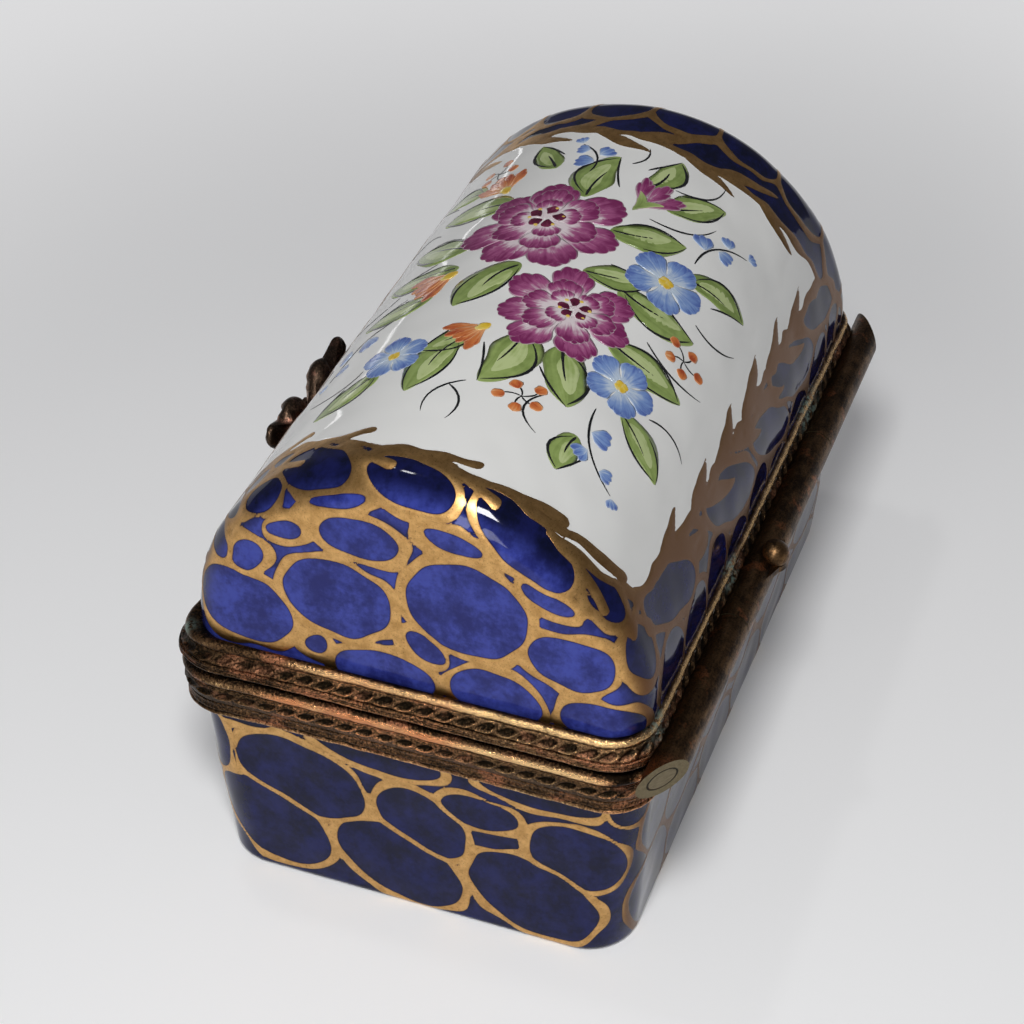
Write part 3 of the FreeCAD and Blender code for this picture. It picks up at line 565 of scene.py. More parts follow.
def lid_columns():
    """Angle and drop of each column, from the hinge side's lower edge round to the front's.

    The last column's number is a multiple of COARSE, so that the inside's columns meet both ends.
    """
    upright = VAULT_Z - LID_SEAT
    sides = round(upright / GLAZE_STEP)
    turns = COARSE * round(math.pi * VAULT_RADIUS / GLAZE_STEP / COARSE) - 2 * sides % COARSE + 1
    drops = np.linspace(upright, 0, sides, endpoint=False)
    angle = np.concatenate([np.zeros(sides), np.linspace(0, math.pi, turns), np.full(sides, math.pi)])
    return angle, np.concatenate([drops, np.zeros(turns), drops[::-1]])


def lid_net(along, angle, drop):
    """The lid's gold net over its zones: near end, far end and the two flanks."""
    rho = MERIDIAN - np.abs(along)
    flat = np.stack([rho * np.cos(angle), VAULT_Z + rho * np.sin(angle) - drop], axis=-1)
    folded = np.where(angle < math.pi / 2, angle, math.pi - angle)
    flank = np.stack([along, folded * VAULT_RADIUS - drop], axis=-1)
    cap = samples(-23, 23, LID_SEAT, VAULT_Z + 23, 0.4)
    cap = cap[np.hypot(cap[:, 0], np.maximum(cap[:, 1] - VAULT_Z, 0)) < 21.0]
    front_of_cap = cap[(cap[:, 0] < -14) & (cap[:, 1] > 29)]
    strip = samples(-25, 25, -2.2, 9.0, 0.4)
    low_strip = strip[strip[:, 1] < 4.0]
    flat_end = LID_X - SHOULDER
    between = np.abs(along) < flat_end + 1
    zones = [
        (along > flat_end - 3, flat, CAP_OVALS + settle_ovals(front_of_cap, CAP_OVALS, 4, 13)),
        (along < 3 - flat_end, flat, settle_ovals(cap, [], 30, 11)),
        (between & (angle < math.pi / 2), flank,
         FLANK_OVALS + settle_ovals(low_strip, FLANK_OVALS, 9, 14)),
        (between & (angle > math.pi / 2), flank, settle_ovals(strip, [], 22, 12)),
    ]
    net = np.full(len(along), OUTSIDE)
    for zone, place, ovals in zones:
        spot = place[zone]
        stroke = LID_STROKE * (1 + 0.28 * ripple(spot, 5.0, 23))
        gold = gold_net(spot + 0.06 * wavering(spot, 4.0, 21), ovals, stroke)
        net[zone] = np.maximum(net[zone], gold)
    return net


def stroke_distance(place, start, end, half_start, half_end):
    """Millimetres inside a straight stroke whose half width changes along it."""
    start, end = np.array(start), np.array(end)
    chord = end - start
    share = np.clip(((place - start) @ chord) / (chord @ chord), 0, 1)
    away = np.linalg.norm(place - start - share[:, None] * chord, axis=1)
    return half_start + (half_end - half_start) * share - away


def leaf_distance(place, root, tip, half):
    """Millimetres inside a pointed leaf, fullest just before its middle and a little bowed."""
    root, tip = np.array(root), np.array(tip)
    chord = tip - root
    length = math.hypot(*chord)
    share = ((place - root) @ chord) / length ** 2
    across = ((place - root) @ left_of(chord)) / length
    held = np.clip(share, 0, 1)
    width = half * np.sin(math.pi * held ** 0.85) ** 0.8
    beyond = np.abs(share - held) * length
    return width - np.hypot(across - 0.22 * half * np.sin(math.pi * held), beyond)


def painted_frame(along, angle):
    """Millimetres inside the white field, and inside the gold line and leaves round it."""
    across = (angle - math.pi / 2) * VAULT_RADIUS
    place = np.stack([along, across], axis=-1)
    moved = place + 0.10 * wavering(place, 4.0, 71)
    edge = np.full(len(place), 99.0)
    gold = np.full(len(place), -99.0)
    crossings = np.zeros(len(place), dtype=int)
    for line, half in zip(FRAME_LINES, LINE_HALF_WIDTHS):
        for start, end in zip(line[:-1], line[1:]):
            away = -stroke_distance(moved, start, end, 0.0, 0.0)
            edge = np.minimum(edge, away)
            gold = np.maximum(gold, half * (1 + 0.25 * ripple(place, 3.0, 73)) - away)
            low, high = sorted((start[1], end[1]))
            level = (moved[:, 1] >= low) & (moved[:, 1] < high)
            if high > low:
                cut = start[0] + (moved[:, 1] - start[1]) * (end[0] - start[0]) / (end[1] - start[1])
                crossings += level & (moved[:, 0] < cut)
    for x0, t0, x1, t1, half0, half1 in BRUSHED_ENDS:
        gold = np.maximum(gold, stroke_distance(moved, (x0, t0), (x1, t1), half0, half1))
    for x0, t0, x1, t1, half in GOLD_LEAVES:
        gold = np.maximum(gold, leaf_distance(moved, (x0, t0), (x1, t1), half))
    return np.where(crossings % 2 == 1, edge, -edge), gold


def lid_glaze(rows, angle, drop):
    """The outside's points, row by row, and their fields."""
    end = MERIDIAN - GABLE_SLIT
    along = np.repeat(np.linspace(-end, end, rows), len(angle))
    angles, drops = np.tile(angle, rows), np.tile(drop, rows)
    points, normals = lid_surface(along, angles, drops, LID_X, VAULT_RADIUS, SHOULDER, GABLE_LEAN)
    white, frame_gold = painted_frame(along, angles)
    net = np.maximum(np.where(white > 0, OUTSIDE, lid_net(along, angles, drops)), frame_gold)
    # The cobalt is lighter beyond the shoulders, and a little so on the flanks
    turned = np.clip((np.abs(along) - (LID_X - SHOULDER)) / SHOULDER, 0, math.pi / 2)
    flank = smooth_step(np.abs(np.cos(angles)), 0.75, 0.95)
    pale_cobalt = np.maximum(smooth_step(turned, 0.55, 1.25), 0.08 * flank)
    # Smooth where the mount holds it
    seated = smooth_step(points[:, 2], LID_SEAT, LID_SEAT + 1.5)
    points += normals * ((glaze_ripple(points) + gold_relief(net)) * seated)[:, None]
    return points, {"gilt": net, "white": white, "pale_cobalt": pale_cobalt}


def lid_inside(rows, angle, drop):
    """The inside's points, row by row."""
    reach = LID_X - LID_WALL
    hollow = VAULT_RADIUS - LID_WALL
    end = hollow + reach - INNER_SHOULDER * (2 - math.pi / 2) - GABLE_SLIT
    along = np.repeat(np.linspace(-end, end, rows), len(angle))
    angles, drops = np.tile(angle, rows), np.tile(drop, rows)
    return lid_surface(along, angles, drops, reach, hollow, INNER_SHOULDER, 0.0)[0]


def lid_faces(rows, columns, in_rows, in_columns):
    """Outside, inside, the slits along the gables' middles, and the seat that joins the two."""
    first, last = rows * columns, (rows - 1) * columns
    in_last = first + (in_rows - 1) * in_columns
    faces = grid_faces(rows, columns) + flipped(grid_faces(in_rows, in_columns, first=first))
    for start, count, flip in ((0, columns, True), (last, columns, False),
                               (first, in_columns, False), (in_last, in_columns, True)):
        faces += flipped(seam(start, count), flip)
    for column, in_column, flip in ((0, first, False), (columns - 1, first + in_columns - 1, True)):
        for k in range(in_rows - 1):
            edge = [(COARSE * k + step) * columns + column for step in range(COARSE + 1)]
            edge += [in_column + (k + 1) * in_columns, in_column + k * in_columns]
            faces += flipped([edge], flip)
    for row, in_row, flip in ((0, first, True), (last, in_last, False)):
        faces += flipped([[row, row + columns - 1, in_row + in_columns - 1, in_row]], flip)
    return faces


def make_porcelain_lid():
    angle, drop = lid_columns()
    in_rows = round(2 * MERIDIAN / GLAZE_STEP / COARSE) + 1
    rows = COARSE * (in_rows - 1) + 1
    outer, fields = lid_glaze(rows, angle, drop)
    inner = lid_inside(in_rows, angle[::COARSE], drop[::COARSE])
    faces = lid_faces(rows, len(angle), in_rows, len(angle[::COARSE]))
    for field, plain in (("gilt", OUTSIDE), ("white", INSIDE), ("pale_cobalt", 0.0)):
        fields[field] = np.append(fields[field], np.full(len(inner), plain))
    make_piece("porcelain_lid_glazed", np.concatenate([outer, inner]), faces, GLAZE, "lid",
               ["porcelain_lid"], fields)


def seam(start, count):
    """Faces that close the slit along a gable's middle by joining a row to itself."""
    faces = []
    for near in range(count // 2):
        far = count - 1 - near
        if far - near > 2:
            faces.append([start + near, start + near + 1, start + far - 1, start + far])
        elif far - near == 2:
            faces.append([start + near, start + near + 1, start + far])
    return faces


# Rounded rectangles in plan

class Loop:
    """Columns round a rounded rectangle, from the near gable's front end, turning to the hinge side."""

    def __init__(self, half_x, half_y, corner, step):
        self.end = max(2, round(2 * (half_y - corner) / step))
        self.side = max(2, round(2 * (half_x - corner) / step))
        self.bend = max(4, round(math.pi / 2 * corner / step))
        points = self.at(half_x, half_y, corner)
        lengths = np.linalg.norm(np.roll(points, -1, axis=0) - points, axis=1)
        self.around = lengths.sum()
        self.distance = np.cumsum(lengths) - lengths - (half_y - corner)
        self.count = len(points)
        self.normal = self.at(1.0, 1.0, 1.0)

    def at(self, half_x, half_y, corner):
        """The columns' places for a rectangle of these half sides and corner radius."""
        parts = []
        bend = np.linspace(0, math.pi / 2, self.bend, endpoint=False)
        for quarter in range(4):
            count, away, half = ((self.end, half_x, half_y - corner) if quarter % 2 == 0
                                 else (self.side, half_y, half_x - corner))
            out = np.append(np.full(count, away), (away - corner) + corner * np.cos(bend))
            run = np.append(np.linspace(-half, half, count, endpoint=False), half + corner * np.sin(bend))
            parts.append(np.stack([(out, run), (-run, out), (-out, -run), (run, -out)][quarter], axis=-1))
        return np.concatenate(parts)

    def all_round(self, rows):
        """The outward normals of this many rows of points."""
        return np.tile(np.column_stack([self.normal, np.zeros(self.count)]), (rows, 1))


# Base

def shrunk(size, by):
    return [length - by for length in size]


def base_rows():
    """The shell's rows from the underside up the wall and down the inside: size, height, kind."""
    bends = np.linspace(0, math.pi / 2, BEND_POINTS)
    middle = (FOOT[0] - UNDERSIDE_INSET, FOOT[1] - UNDERSIDE_INSET, 2.0)
    rows = [(middle, 0.0, "foot"), (shrunk(FOOT, FOOT_ROUND), 0.0, "foot")]
    for bend in bends[1:]:
        height = FOOT_ROUND * (1 - math.cos(bend))
        rows.append((shrunk(wall_size(height), FOOT_ROUND * (1 - math.sin(bend))), height, "wall"))
    for height in np.linspace(FOOT_ROUND, SHOULDER_Z + 0.02, round(SHOULDER_Z / GLAZE_STEP))[1:]:
        rows.append((wall_size(height), height, "wall"))
    rows += [(NECK, SHOULDER_Z + 0.03, "neck"), (NECK, NECK_Z, "neck"), (MOUTH, NECK_Z, "inside")]
    drop = FLOOR_Z + CAVITY_ROUND - NECK_Z
    for share in np.linspace(0, 1, BEND_POINTS)[1:-1]:
        size = [mouth + (low - mouth) * share for mouth, low in zip(MOUTH, CAVITY_FLOOR)]
        rows.append((size, NECK_Z + drop * share, "inside"))
    for bend in bends:
        height = FLOOR_Z + CAVITY_ROUND * (1 - math.sin(bend))
        rows.append((shrunk(CAVITY_FLOOR, CAVITY_ROUND * (1 - math.cos(bend))), height, "inside"))
    return rows


def make_porcelain_base():
    loop = Loop(*FOOT, GLAZE_STEP)
    sizes, heights, kinds = zip(*base_rows())
    rows = len(sizes)
    heights, kinds = np.repeat(heights, loop.count), np.repeat(kinds, loop.count)
    points = np.column_stack([np.concatenate([loop.at(*size) for size in sizes]), heights])
    places = np.column_stack([np.tile(loop.distance, rows), heights])
    wall = kinds == "wall"
    net = np.full(len(points), OUTSIDE)
    net[wall] = base_net(places[wall], loop.around)
    relief = (glaze_ripple(points) + gold_relief(net)) * smooth_step(points[:, 2], 0.0, 1.2) * wall
    points += loop.all_round(rows) * relief[:, None]
    faces = grid_faces(rows, loop.count, closed_columns=True)
    faces.append(list(range(loop.count))[::-1])
    faces.append(list(range(len(points) - loop.count, len(points))))
    white = np.where(wall | (kinds == "neck"), -INSIDE, INSIDE)
    make_piece("porcelain_base_glazed", points, faces, GLAZE, "base", ["porcelain_base"],
               {"gilt": net, "white": white, "pale_cobalt": np.full(len(points), BASE_COBALT_PALENESS)})


def wall_size(height):
    share = height / SHOULDER_Z
    return [FOOT[k] + (BASE_SHOULDER[k] - FOOT[k]) * share for k in range(3)]


def base_net(places, around):
    """The base's gold net: listed ovals near the camera, settled ones beyond their reach."""
    reach = 17.5
    spread = samples(reach, around - reach, 0, SHOULDER_Z + 1.5, 0.5)
    ovals = BASE_OVALS + settle_ovals(spread, BASE_OVALS, 52, 31, around)
    stroke = BASE_STROKE * (1 + 0.3 * ripple(places, 5.0, 34))
    return gold_net(places + 0.06 * wavering(places, 4.0, 32), ovals, stroke, around)


# Brass rims. Each section point is the inward distance from the outermost outline, the height,
# and how worn bright it is from 0 to 1.

BASE_SECTION = [
    (1.20, 16.25, 0.0), (0.80, 16.25, 0.2), (0.52, 16.29, 0.5), (0.37, 16.42, 0.8), (0.36, 16.56, 0.6),
    (0.46, 16.68, 0.1), (0.50, 16.74, 0.0), (0.42, 16.82, 0.3), (0.40, 16.95, 0.2), (0.44, 17.10, 0.2),
    (0.46, 17.26, 0.3), (0.44, 17.40, 0.3), (0.50, 17.52, 0.1), (0.66, 17.62, 0.0), (0.66, 18.88, 0.0),
    (0.50, 18.95, 0.1), (0.38, 18.99, 0.4), (0.36, 19.05, 0.5), (0.44, 19.11, 0.0), (0.36, 19.17, 0.3),
    (0.24, 19.29, 0.6), (0.17, 19.43, 0.9), (0.18, 19.60, 1.1), (0.26, 19.76, 0.9), (0.40, 19.90, 0.2),
    (0.60, 20.03, 0.0), (0.84, 20.14, 0.0), (1.12, 20.28, 0.0), (1.60, 20.45, 0.1), (2.60, 20.45, 0.3),
    (3.55, 20.45, 0.5), (3.63, 20.40, 0.6), (3.63, 20.14, 0.3), (3.55, 20.10, 0.1), (1.60, 20.10, 0.0),
    (1.22, 20.08, 0.0), (1.20, 20.00, 0.0), (1.20, 18.00, 0.0),
]
LID_SECTION = [
    (1.20, 21.20, 0.0), (1.20, 20.95, 0.0), (1.30, 20.90, 0.0), (3.52, 20.90, 0.2), (3.60, 20.86, 0.6),
    (3.60, 20.60, 0.5), (3.52, 20.55, 0.4), (2.00, 20.55, 0.2), (0.90, 20.56, 0.0), (0.55, 20.60, 0.0),
    (0.28, 20.68, 0.0), (0.10, 20.80, 0.2), (0.05, 20.92, 0.5), (0.10, 21.00, 0.2), (0.16, 21.04, 0.0),
    (0.07, 21.10, 0.4), (0.08, 21.17, 0.3), (0.16, 21.22, 0.0), (0.07, 21.28, 0.5), (0.09, 21.38, 0.4),
    (0.18, 21.44, 0.2), (0.34, 21.47, 0.0), (0.50, 21.52, 0.0), (1.00, 22.18, 0.0), (0.94, 22.24, 0.1),
    (0.78, 22.26, 0.6), (0.73, 22.31, 0.7), (0.80, 22.36, 0.2), (0.80, 22.40, 0.1), (0.68, 22.50, 0.3),
    (0.61, 22.64, 0.6), (0.62, 22.80, 1.0), (0.71, 22.96, 1.0), (0.86, 23.09, 0.5), (1.03, 23.13, 0.1),
    (1.20, 23.09, 0.0), (1.36, 22.95, 0.0), (1.45, 22.70, 0.0), (1.42, 22.45, 0.0), (1.30, 22.20, 0.0),
    (1.21, 21.90, 0.0),
]
# Points on the stretch from one section point to the next
SECTION_DETAIL = 3


def held_slope(slope, length):
    """A slope of the section's curve, no longer than the stretch that it starts or ends."""
    return slope * min(1.0, length / (np.linalg.norm(slope) + 1e-9))


def fine_section(section):
    """A closed section with points added on a smooth curve through the given ones."""
    points = np.array(section)
    fine = []
    for i in range(len(points)):
        before, start, end, after = (points[(i + k) % len(points)] for k in (-1, 0, 1, 2))
        length = np.linalg.norm(end - start)
        out = held_slope((end - before) / 2, length)
        into = held_slope((after - start) / 2, length)
        for t in np.linspace(0, 1, SECTION_DETAIL, endpoint=False):
            fine.append((2 * t ** 3 - 3 * t ** 2 + 1) * start + (t ** 3 - 2 * t ** 2 + t) * out
                        + (3 * t ** 2 - 2 * t ** 3) * end + (t ** 3 - t ** 2) * into)
    return np.array(fine)


def clear_of_hinge(points):
    """Push points on the hinge side back out of the channel for the tubes."""
    height = points[:, 2] - HINGE_Z
    within = np.sqrt(np.maximum(CHANNEL_RADIUS ** 2 - height ** 2, 0))
    limit = np.where(np.abs(height) < CHANNEL_RADIUS, HINGE_Y - within, np.inf)
    points[:, 1] = np.minimum(points[:, 1], limit)
    return points


# The rims stand off a little at the near front corner, where they were bent
BENT_CORNER = (29.4, -18.2)
BENT_BY = (0.26, -0.70)
BENT_REACH = 4.6


def hand_bent(points):
    x, y = points[:, 0], points[:, 1]
    share = np.exp(-(np.hypot(x - BENT_CORNER[0], y - BENT_CORNER[1]) / BENT_REACH) ** 2)
    corner = np.hypot(np.maximum(np.abs(x) - BAND_X + BAND_CORNER, 0),
                      np.maximum(np.abs(y) - BAND_Y + BAND_CORNER, 0))
    share = share * smooth_step(corner - BAND_CORNER, -1.45, -0.85)
    points[:, :2] += share[:, None] * BENT_BY
    return points


# Where green and pale corrosion has grown: place and reach
CORROSION = [(28.4, -17.6, 22.9, 0.6), (26.0, 18.2, 22.9, 1.3), (8.0, 18.0, 22.8, 1.6),
             (-14.0, 18.2, 22.8, 2.2), (-29.0, -15.0, 22.7, 2.0), (-12.0, -18.4, 17.0, 2.0)]
# Where the gilding has gone down to copper, and where the brass has tarnished nearly black
BARE_COPPER = [(30.2, -9.0, 19.6, 2.6), (30.2, -4.0, 19.6, 3.4), (30.2, 1.5, 19.6, 2.8),
               (30.0, 18.0, 18.0, 3.0), (-30.2, 6.0, 19.6, 3.0), (4.0, -19.0, 19.6, 4.0)]
TARNISHED = [(29.0, -17.5, 21.0, 4.2), (30.2, -13.0, 22.8, 4.5), (29.9, 17.6, 19.6, 0.9),
             (-10.0, -19.0, 20.5, 4.0), (-29.5, 12.0, 20.0, 4.0)]
# Painted shadow: a dark spot on the base rim's bead where a hole in shade shows beside the hinge tube's
# near end
PAINTED_HOLE_SHADOW = [(29.9, 16.7, 19.5, 1.0)]


def spots(points, places):
    """1 in the middle of each place (x, y, z, reach), falling off to 0 around it."""
    return np.max([np.exp(-(np.linalg.norm(points - place[:3], axis=1) / place[3]) ** 2)
                   for place in places], axis=0)


def brass_fields(points, wear):
    """Wear, copper and verdigris of a rim's or rope's points. Wear is lower where tarnished, and a painted
    shadow pushes it below 0 on the bead beside the hinge tube.
    """
    wear = wear * (1 - 0.8 * spots(points, TARNISHED)) - 1.6 * spots(points, PAINTED_HOLE_SHADOW)
    return {"wear": wear, "copper": spots(points, BARE_COPPER), "verdigris": spots(points, CORROSION)}


def band_points(loop, inward, heights):
    """Points round the rims' outline, one row per (inward, height); both may vary along the row."""
    plan = loop.at(BAND_X, BAND_Y, BAND_CORNER)
    rows = []
    for n, z in zip(inward, heights):
        middle = float(np.mean(n))
        if BAND_CORNER - middle < OPENING_CORNER:
            row = loop.at(BAND_X - middle, BAND_Y - middle, OPENING_CORNER)
        else:
            row = plan - loop.normal * np.reshape(n, (-1, 1))
        rows.append(np.column_stack([row, np.broadcast_to(z, loop.count)]))
    return np.concatenate(rows)


def make_rim(name, section, body, node):
    loop = Loop(BAND_X, BAND_Y, BAND_CORNER, RIM_STEP)
    fine = fine_section(section)
    points = band_points(loop, fine[:, 0], fine[:, 1])
    wear = np.repeat(fine[:, 2], loop.count)
    hand = 0.02 * ripple(points, 2.6, 41) + 0.008 * ripple(points, 0.7, 42)
    outside = np.repeat(fine[:, 0] < 1.15, loop.count)
    points += loop.all_round(len(fine)) * (hand * outside)[:, None]
    points = clear_of_hinge(hand_bent(points))
    faces = grid_faces(len(fine), loop.count, closed_rows=True, closed_columns=True)
    make_piece(name, points, faces, RIM_BRASS, body, [node], brass_fields(points, wear))


# Pressed cable strips: from hollow to hollow, slant, half length and depth of a hollow
ROPE_PITCH = 1.55
ROPE_TILT = math.radians(15)
PIT_LENGTH = 0.74
PIT_DEPTH = 0.24
ROPE_THICKNESS = 0.34
# Heights of a strip's edges, their inward distances, how far its face bulges, and the middle, over
# the lower edge, and half height of the row of hollows
BASE_ROPE = (17.58, 18.92, 0.42, 0.42, 0.16, 0.84, 0.27)
LID_ROPE = (21.50, 22.28, 0.26, 0.78, 0.10, 0.39, 0.24)


def pressed_cable(distance, rise, around, pit_height):
    """Slanted almond hollows with raised rims between round strands: (depth, wear)."""
    pitch = around / round(around / ROPE_PITCH)
    hollow = np.zeros_like(distance)
    ridge = np.zeros_like(distance)
    for neighbour in (-1, 0, 1):
        run = distance - (np.round(distance / pitch) + neighbour) * pitch
        a = run * math.cos(ROPE_TILT) + rise * math.sin(ROPE_TILT)
        b = rise * math.cos(ROPE_TILT) - run * math.sin(ROPE_TILT)
        lens = pit_height * np.maximum(1 - (a / PIT_LENGTH) ** 2, 0.0) + 0.02
        depth = np.clip(1 - np.abs(b) / lens, 0, 1) * (np.abs(a) < PIT_LENGTH)
        hollow = np.maximum(hollow, np.sqrt(depth))
        rim = np.exp(-((np.abs(b) - lens - 0.05) / 0.055) ** 2)
        rim = rim * smooth_step(PIT_LENGTH - np.abs(a), -0.1, 0.1)
        ridge = np.maximum(ridge, rim * (b < 0.1))
    ridge *= 1 - smooth_step(hollow, 0.0, 0.3)
    return PIT_DEPTH * hollow - 0.05 * ridge, 0.30 + 0.6 * ridge - 0.5 * hollow


def make_rope(name, strip, body, node):
    """A strip round the rims whose face carries the pressed cable pattern."""
    low, high, seat_low, seat_high, bulge, pit_middle, pit_height = strip
    loop = Loop(BAND_X, BAND_Y, BAND_CORNER, ROPE_STEP)
    count = round((high - low) / ROPE_RISE) + 1
    rises = np.append(np.linspace(0, high - low, count), (high - low, 0))
    inward, wears = [], []
    for number, rise in enumerate(rises):
        share = rise / (high - low)
        face = seat_low + (seat_high - seat_low) * share
        if number < count:
            away = np.full(loop.count, rise - pit_middle)
            depth, wear = pressed_cable(loop.distance, away, loop.around, pit_height)
            inward.append(face - bulge * 4 * share * (1 - share) + depth)
            wears.append(wear)
        else:
            inward.append(np.full(loop.count, face + ROPE_THICKNESS))
            wears.append(np.zeros(loop.count))
    points = clear_of_hinge(hand_bent(band_points(loop, inward, low + rises)))
    points += 0.01 * ripple(points, 0.5, 43)[:, None]
    faces = grid_faces(len(rises), loop.count, closed_rows=True, closed_columns=True)
    make_piece(name, points, faces, ROPE_BRASS, body, [node],
               brass_fields(points, np.concatenate(wears)))


# Brush strokes on the vault

# How far the edge of a stroke stands proud of the glaze, and its underside lies inside it
ENAMEL_PROUD, ENAMEL_SUNK = 0.010, 0.03
# What each further layer of enamel adds
LAYER = 0.004


class Strokes:
    """Thin strokes of enamel gathered into one mesh. A path point is (x, distance from the crown)."""

    ACROSS = 9

    def __init__(self, seed):
        self.points, self.faces, self.count = [], [], 0
        self.fields = {"along": [], "across": [], "tone": [], "inset": []}
        self.random = np.random.default_rng(seed)

    def add(self, start, end, bow, width, layer, profile=(0.5, 0.7), shade=(0.0, 1.0), height=0.012):
        """A stroke from start to end that bows to its left by a share of its length.

        width is the largest half width, profile its place along the stroke and how full the ends
        are (lower is fuller), and shade runs along the stroke from 0, deep, to 1, faded.
        """
        start, end = np.array(start, float), np.array(end, float)
        chord = end - start
        count = int(np.clip(np.linalg.norm(chord) / 0.3, 10, 26))
        t = (1 - np.cos(np.linspace(0, math.pi, count))) / 2
        peak, fullness = profile
        widths = width * np.maximum(np.sin(math.pi * t ** (math.log(0.5) / math.log(peak))), 0) ** fullness
        widths = np.maximum(widths * (1 + 0.10 * np.sin(9 * t + self.random.uniform(0, 6))), 0.02)
        path = start + chord * t[:, None] + left_of(chord) * (bow * 4 * t * (1 - t))[:, None]
        tangent = chord + left_of(chord) * (bow * 4 * (1 - 2 * t))[:, None]
        tangent /= np.linalg.norm(tangent, axis=1)[:, None]
        side = left_of(tangent)
        spread = np.linspace(-1, 1, self.ACROSS)
        place = path[:, None, :] + side[:, None, :] * (widths[:, None] * spread)[..., None]
        crown = np.sqrt(1 - spread ** 2)[None, :] * np.minimum(widths / 0.2, 1)[:, None]
        lift = ENAMEL_PROUD + LAYER * layer + height * crown
        top = on_vault(place[..., 0], place[..., 1], lift)
        inner = slice(self.ACROSS - 2, 0, -1)
        bottom = on_vault(place[:, inner, 0], place[:, inner, 1], -ENAMEL_SUNK)
        ring = np.concatenate([top, bottom], axis=1)
        rows, columns = ring.shape[:2]
        inset = widths[:, None] * (1 - np.abs(spread))
        self.points.append(ring.reshape(-1, 3))
        self.faces += grid_faces(rows, columns, closed_columns=True, first=self.count)
        head = list(range(self.count, self.count + columns))
        self.faces += [head, [point + (rows - 1) * columns for point in head][::-1]]
        self.fields["along"].append(np.repeat(shade[0] + (shade[1] - shade[0]) * t, columns))
        self.fields["across"].append(np.tile(np.concatenate([spread, spread[inner]]), rows))
        self.fields["tone"].append(np.full(rows * columns, self.random.uniform()))
        self.fields["inset"].append(np.concatenate([inset, inset[:, inner]], axis=1).ravel())
        self.count += rows * columns

    def make(self, name, material):
        fields = {field: np.concatenate(values) for field, values in self.fields.items()}
        make_piece(name, np.concatenate(self.points), self.faces, material, "lid",
                   fields=fields)


# Enamel spray: peonies with a bud, tulips, funnel flowers, sprigs of bells, berries and pointed
# leaves. Each place is (x, distance from the crown), and each turn an angle from +X to the front.

# Centre, radius, turn of the first petal
PEONIES = [(-6.2, 2.4, 6.7, 0.35), (4.6, -3.0, 5.6, 1.2)]
BUDS = [(-13.4, -4.2, 2.3, 3.5)]
# A peony's rings: number of petals, their reach and half width and the ring's shift by the radius
PEONY_RINGS = [(7, 1.0, 0.37, 0.0), (6, 0.70, 0.30, 0.08), (4, 0.42, 0.21, 0.14)]
# Foot, length, turn
TULIPS = [(0.8, 7.4, 4.3, 0.95), (-12.2, 8.0, 4.0, 2.6), (8.6, 1.6, 3.6, 0.75)]
# A tulip's petals: turn to either side, and share of the length
TULIP_PETALS = [(-0.62, 0.95), (0.62, 0.95), (-0.24, 0.86), (0.24, 0.9), (0.0, 0.8)]
# Centre, radius
FUNNELS = [(-4.2, -8.4, 3.4), (9.2, -9.4, 3.0), (12.6, 7.6, 2.7)]
# Stem from, to, and its bow
BELL_SPRIGS = [(13.0, -8.6, 19.4, -12.6, 0.16), (-8.4, -9.6, -13.6, -13.2, -0.18),
               (-14.8, 1.6, -19.2, 3.6, 0.18), (6.6, 10.6, 12.2, 14.4, 0.15)]
BERRIES = [(15.6, -3.6), (2.0, -12.6), (-16.6, 10.6)]
# Share of its length by which a leaf's root goes under its neighbour
TUCK = 0.16
# Root, tip, half width
LEAVES = [
    (-11.8, 0.6, -17.8, 0.0, 1.7), (-9.6, 7.2, -10.2, 13.6, 1.7), (-3.6, 8.6, -6.0, 14.4, 1.7),
    (-0.2, 8.4, -0.8, 14.8, 1.5), (0.6, 2.6, 6.0, 5.4, 1.8), (9.2, -1.2, 15.4, -0.2, 1.9),
    (9.4, -4.6, 14.6, -6.8, 1.8), (5.6, -7.8, 6.0, -14.0, 1.7), (-0.6, -6.6, -0.4, -12.6, 1.7),
    (-7.6, -3.4, -9.6, -8.4, 1.7), (-13.2, -6.2, -16.6, -9.8, 1.4), (-15.2, -3.6, -19.6, -4.8, 1.3),
    (-6.4, -10.6, -7.4, -15.6, 1.4), (11.6, 3.2, 17.6, 4.6, 1.6), (12.0, -11.0, 14.8, -15.2, 1.4),
    (15.2, 8.6, 19.6, 11.6, 1.35), (4.2, 8.8, 5.4, 14.2, 1.4), (-13.6, 11.4, -14.8, 16.2, 1.3),
    (17.2, -8.4, 20.8, -8.2, 1.2), (-15.8, 5.0, -19.4, 7.4, 1.2), (-1.2, -3.2, -2.6, -7.6, 1.4),
    (9.6, 2.4, 12.4, 5.6, 1.3),
]
# From, to, bow
TENDRILS = [
    (-15.6, -5.4, -19.4, -8.8, 0.25), (15.6, 0.6, 20.0, 2.4, 0.22), (16.4, 1.6, 20.4, 0.4, -0.2),
    (1.6, 12.4, 3.2, 17.0, -0.2), (-8.2, 13.0, -8.6, 17.2, 0.2), (14.4, -5.0, 18.6, -5.8, 0.3),
    (3.2, -9.4, 3.8, -15.4, 0.16), (10.0, -12.4, 10.6, -16.4, -0.2), (-10.6, -4.8, -13.8, -9.8, 0.2),
    (-2.4, -12.0, -3.4, -16.2, 0.2), (13.6, 10.0, 16.0, 14.2, -0.25), (-17.2, -1.2, -20.0, -1.8, 0.2),
]
LINE_HALF_WIDTH = 0.125


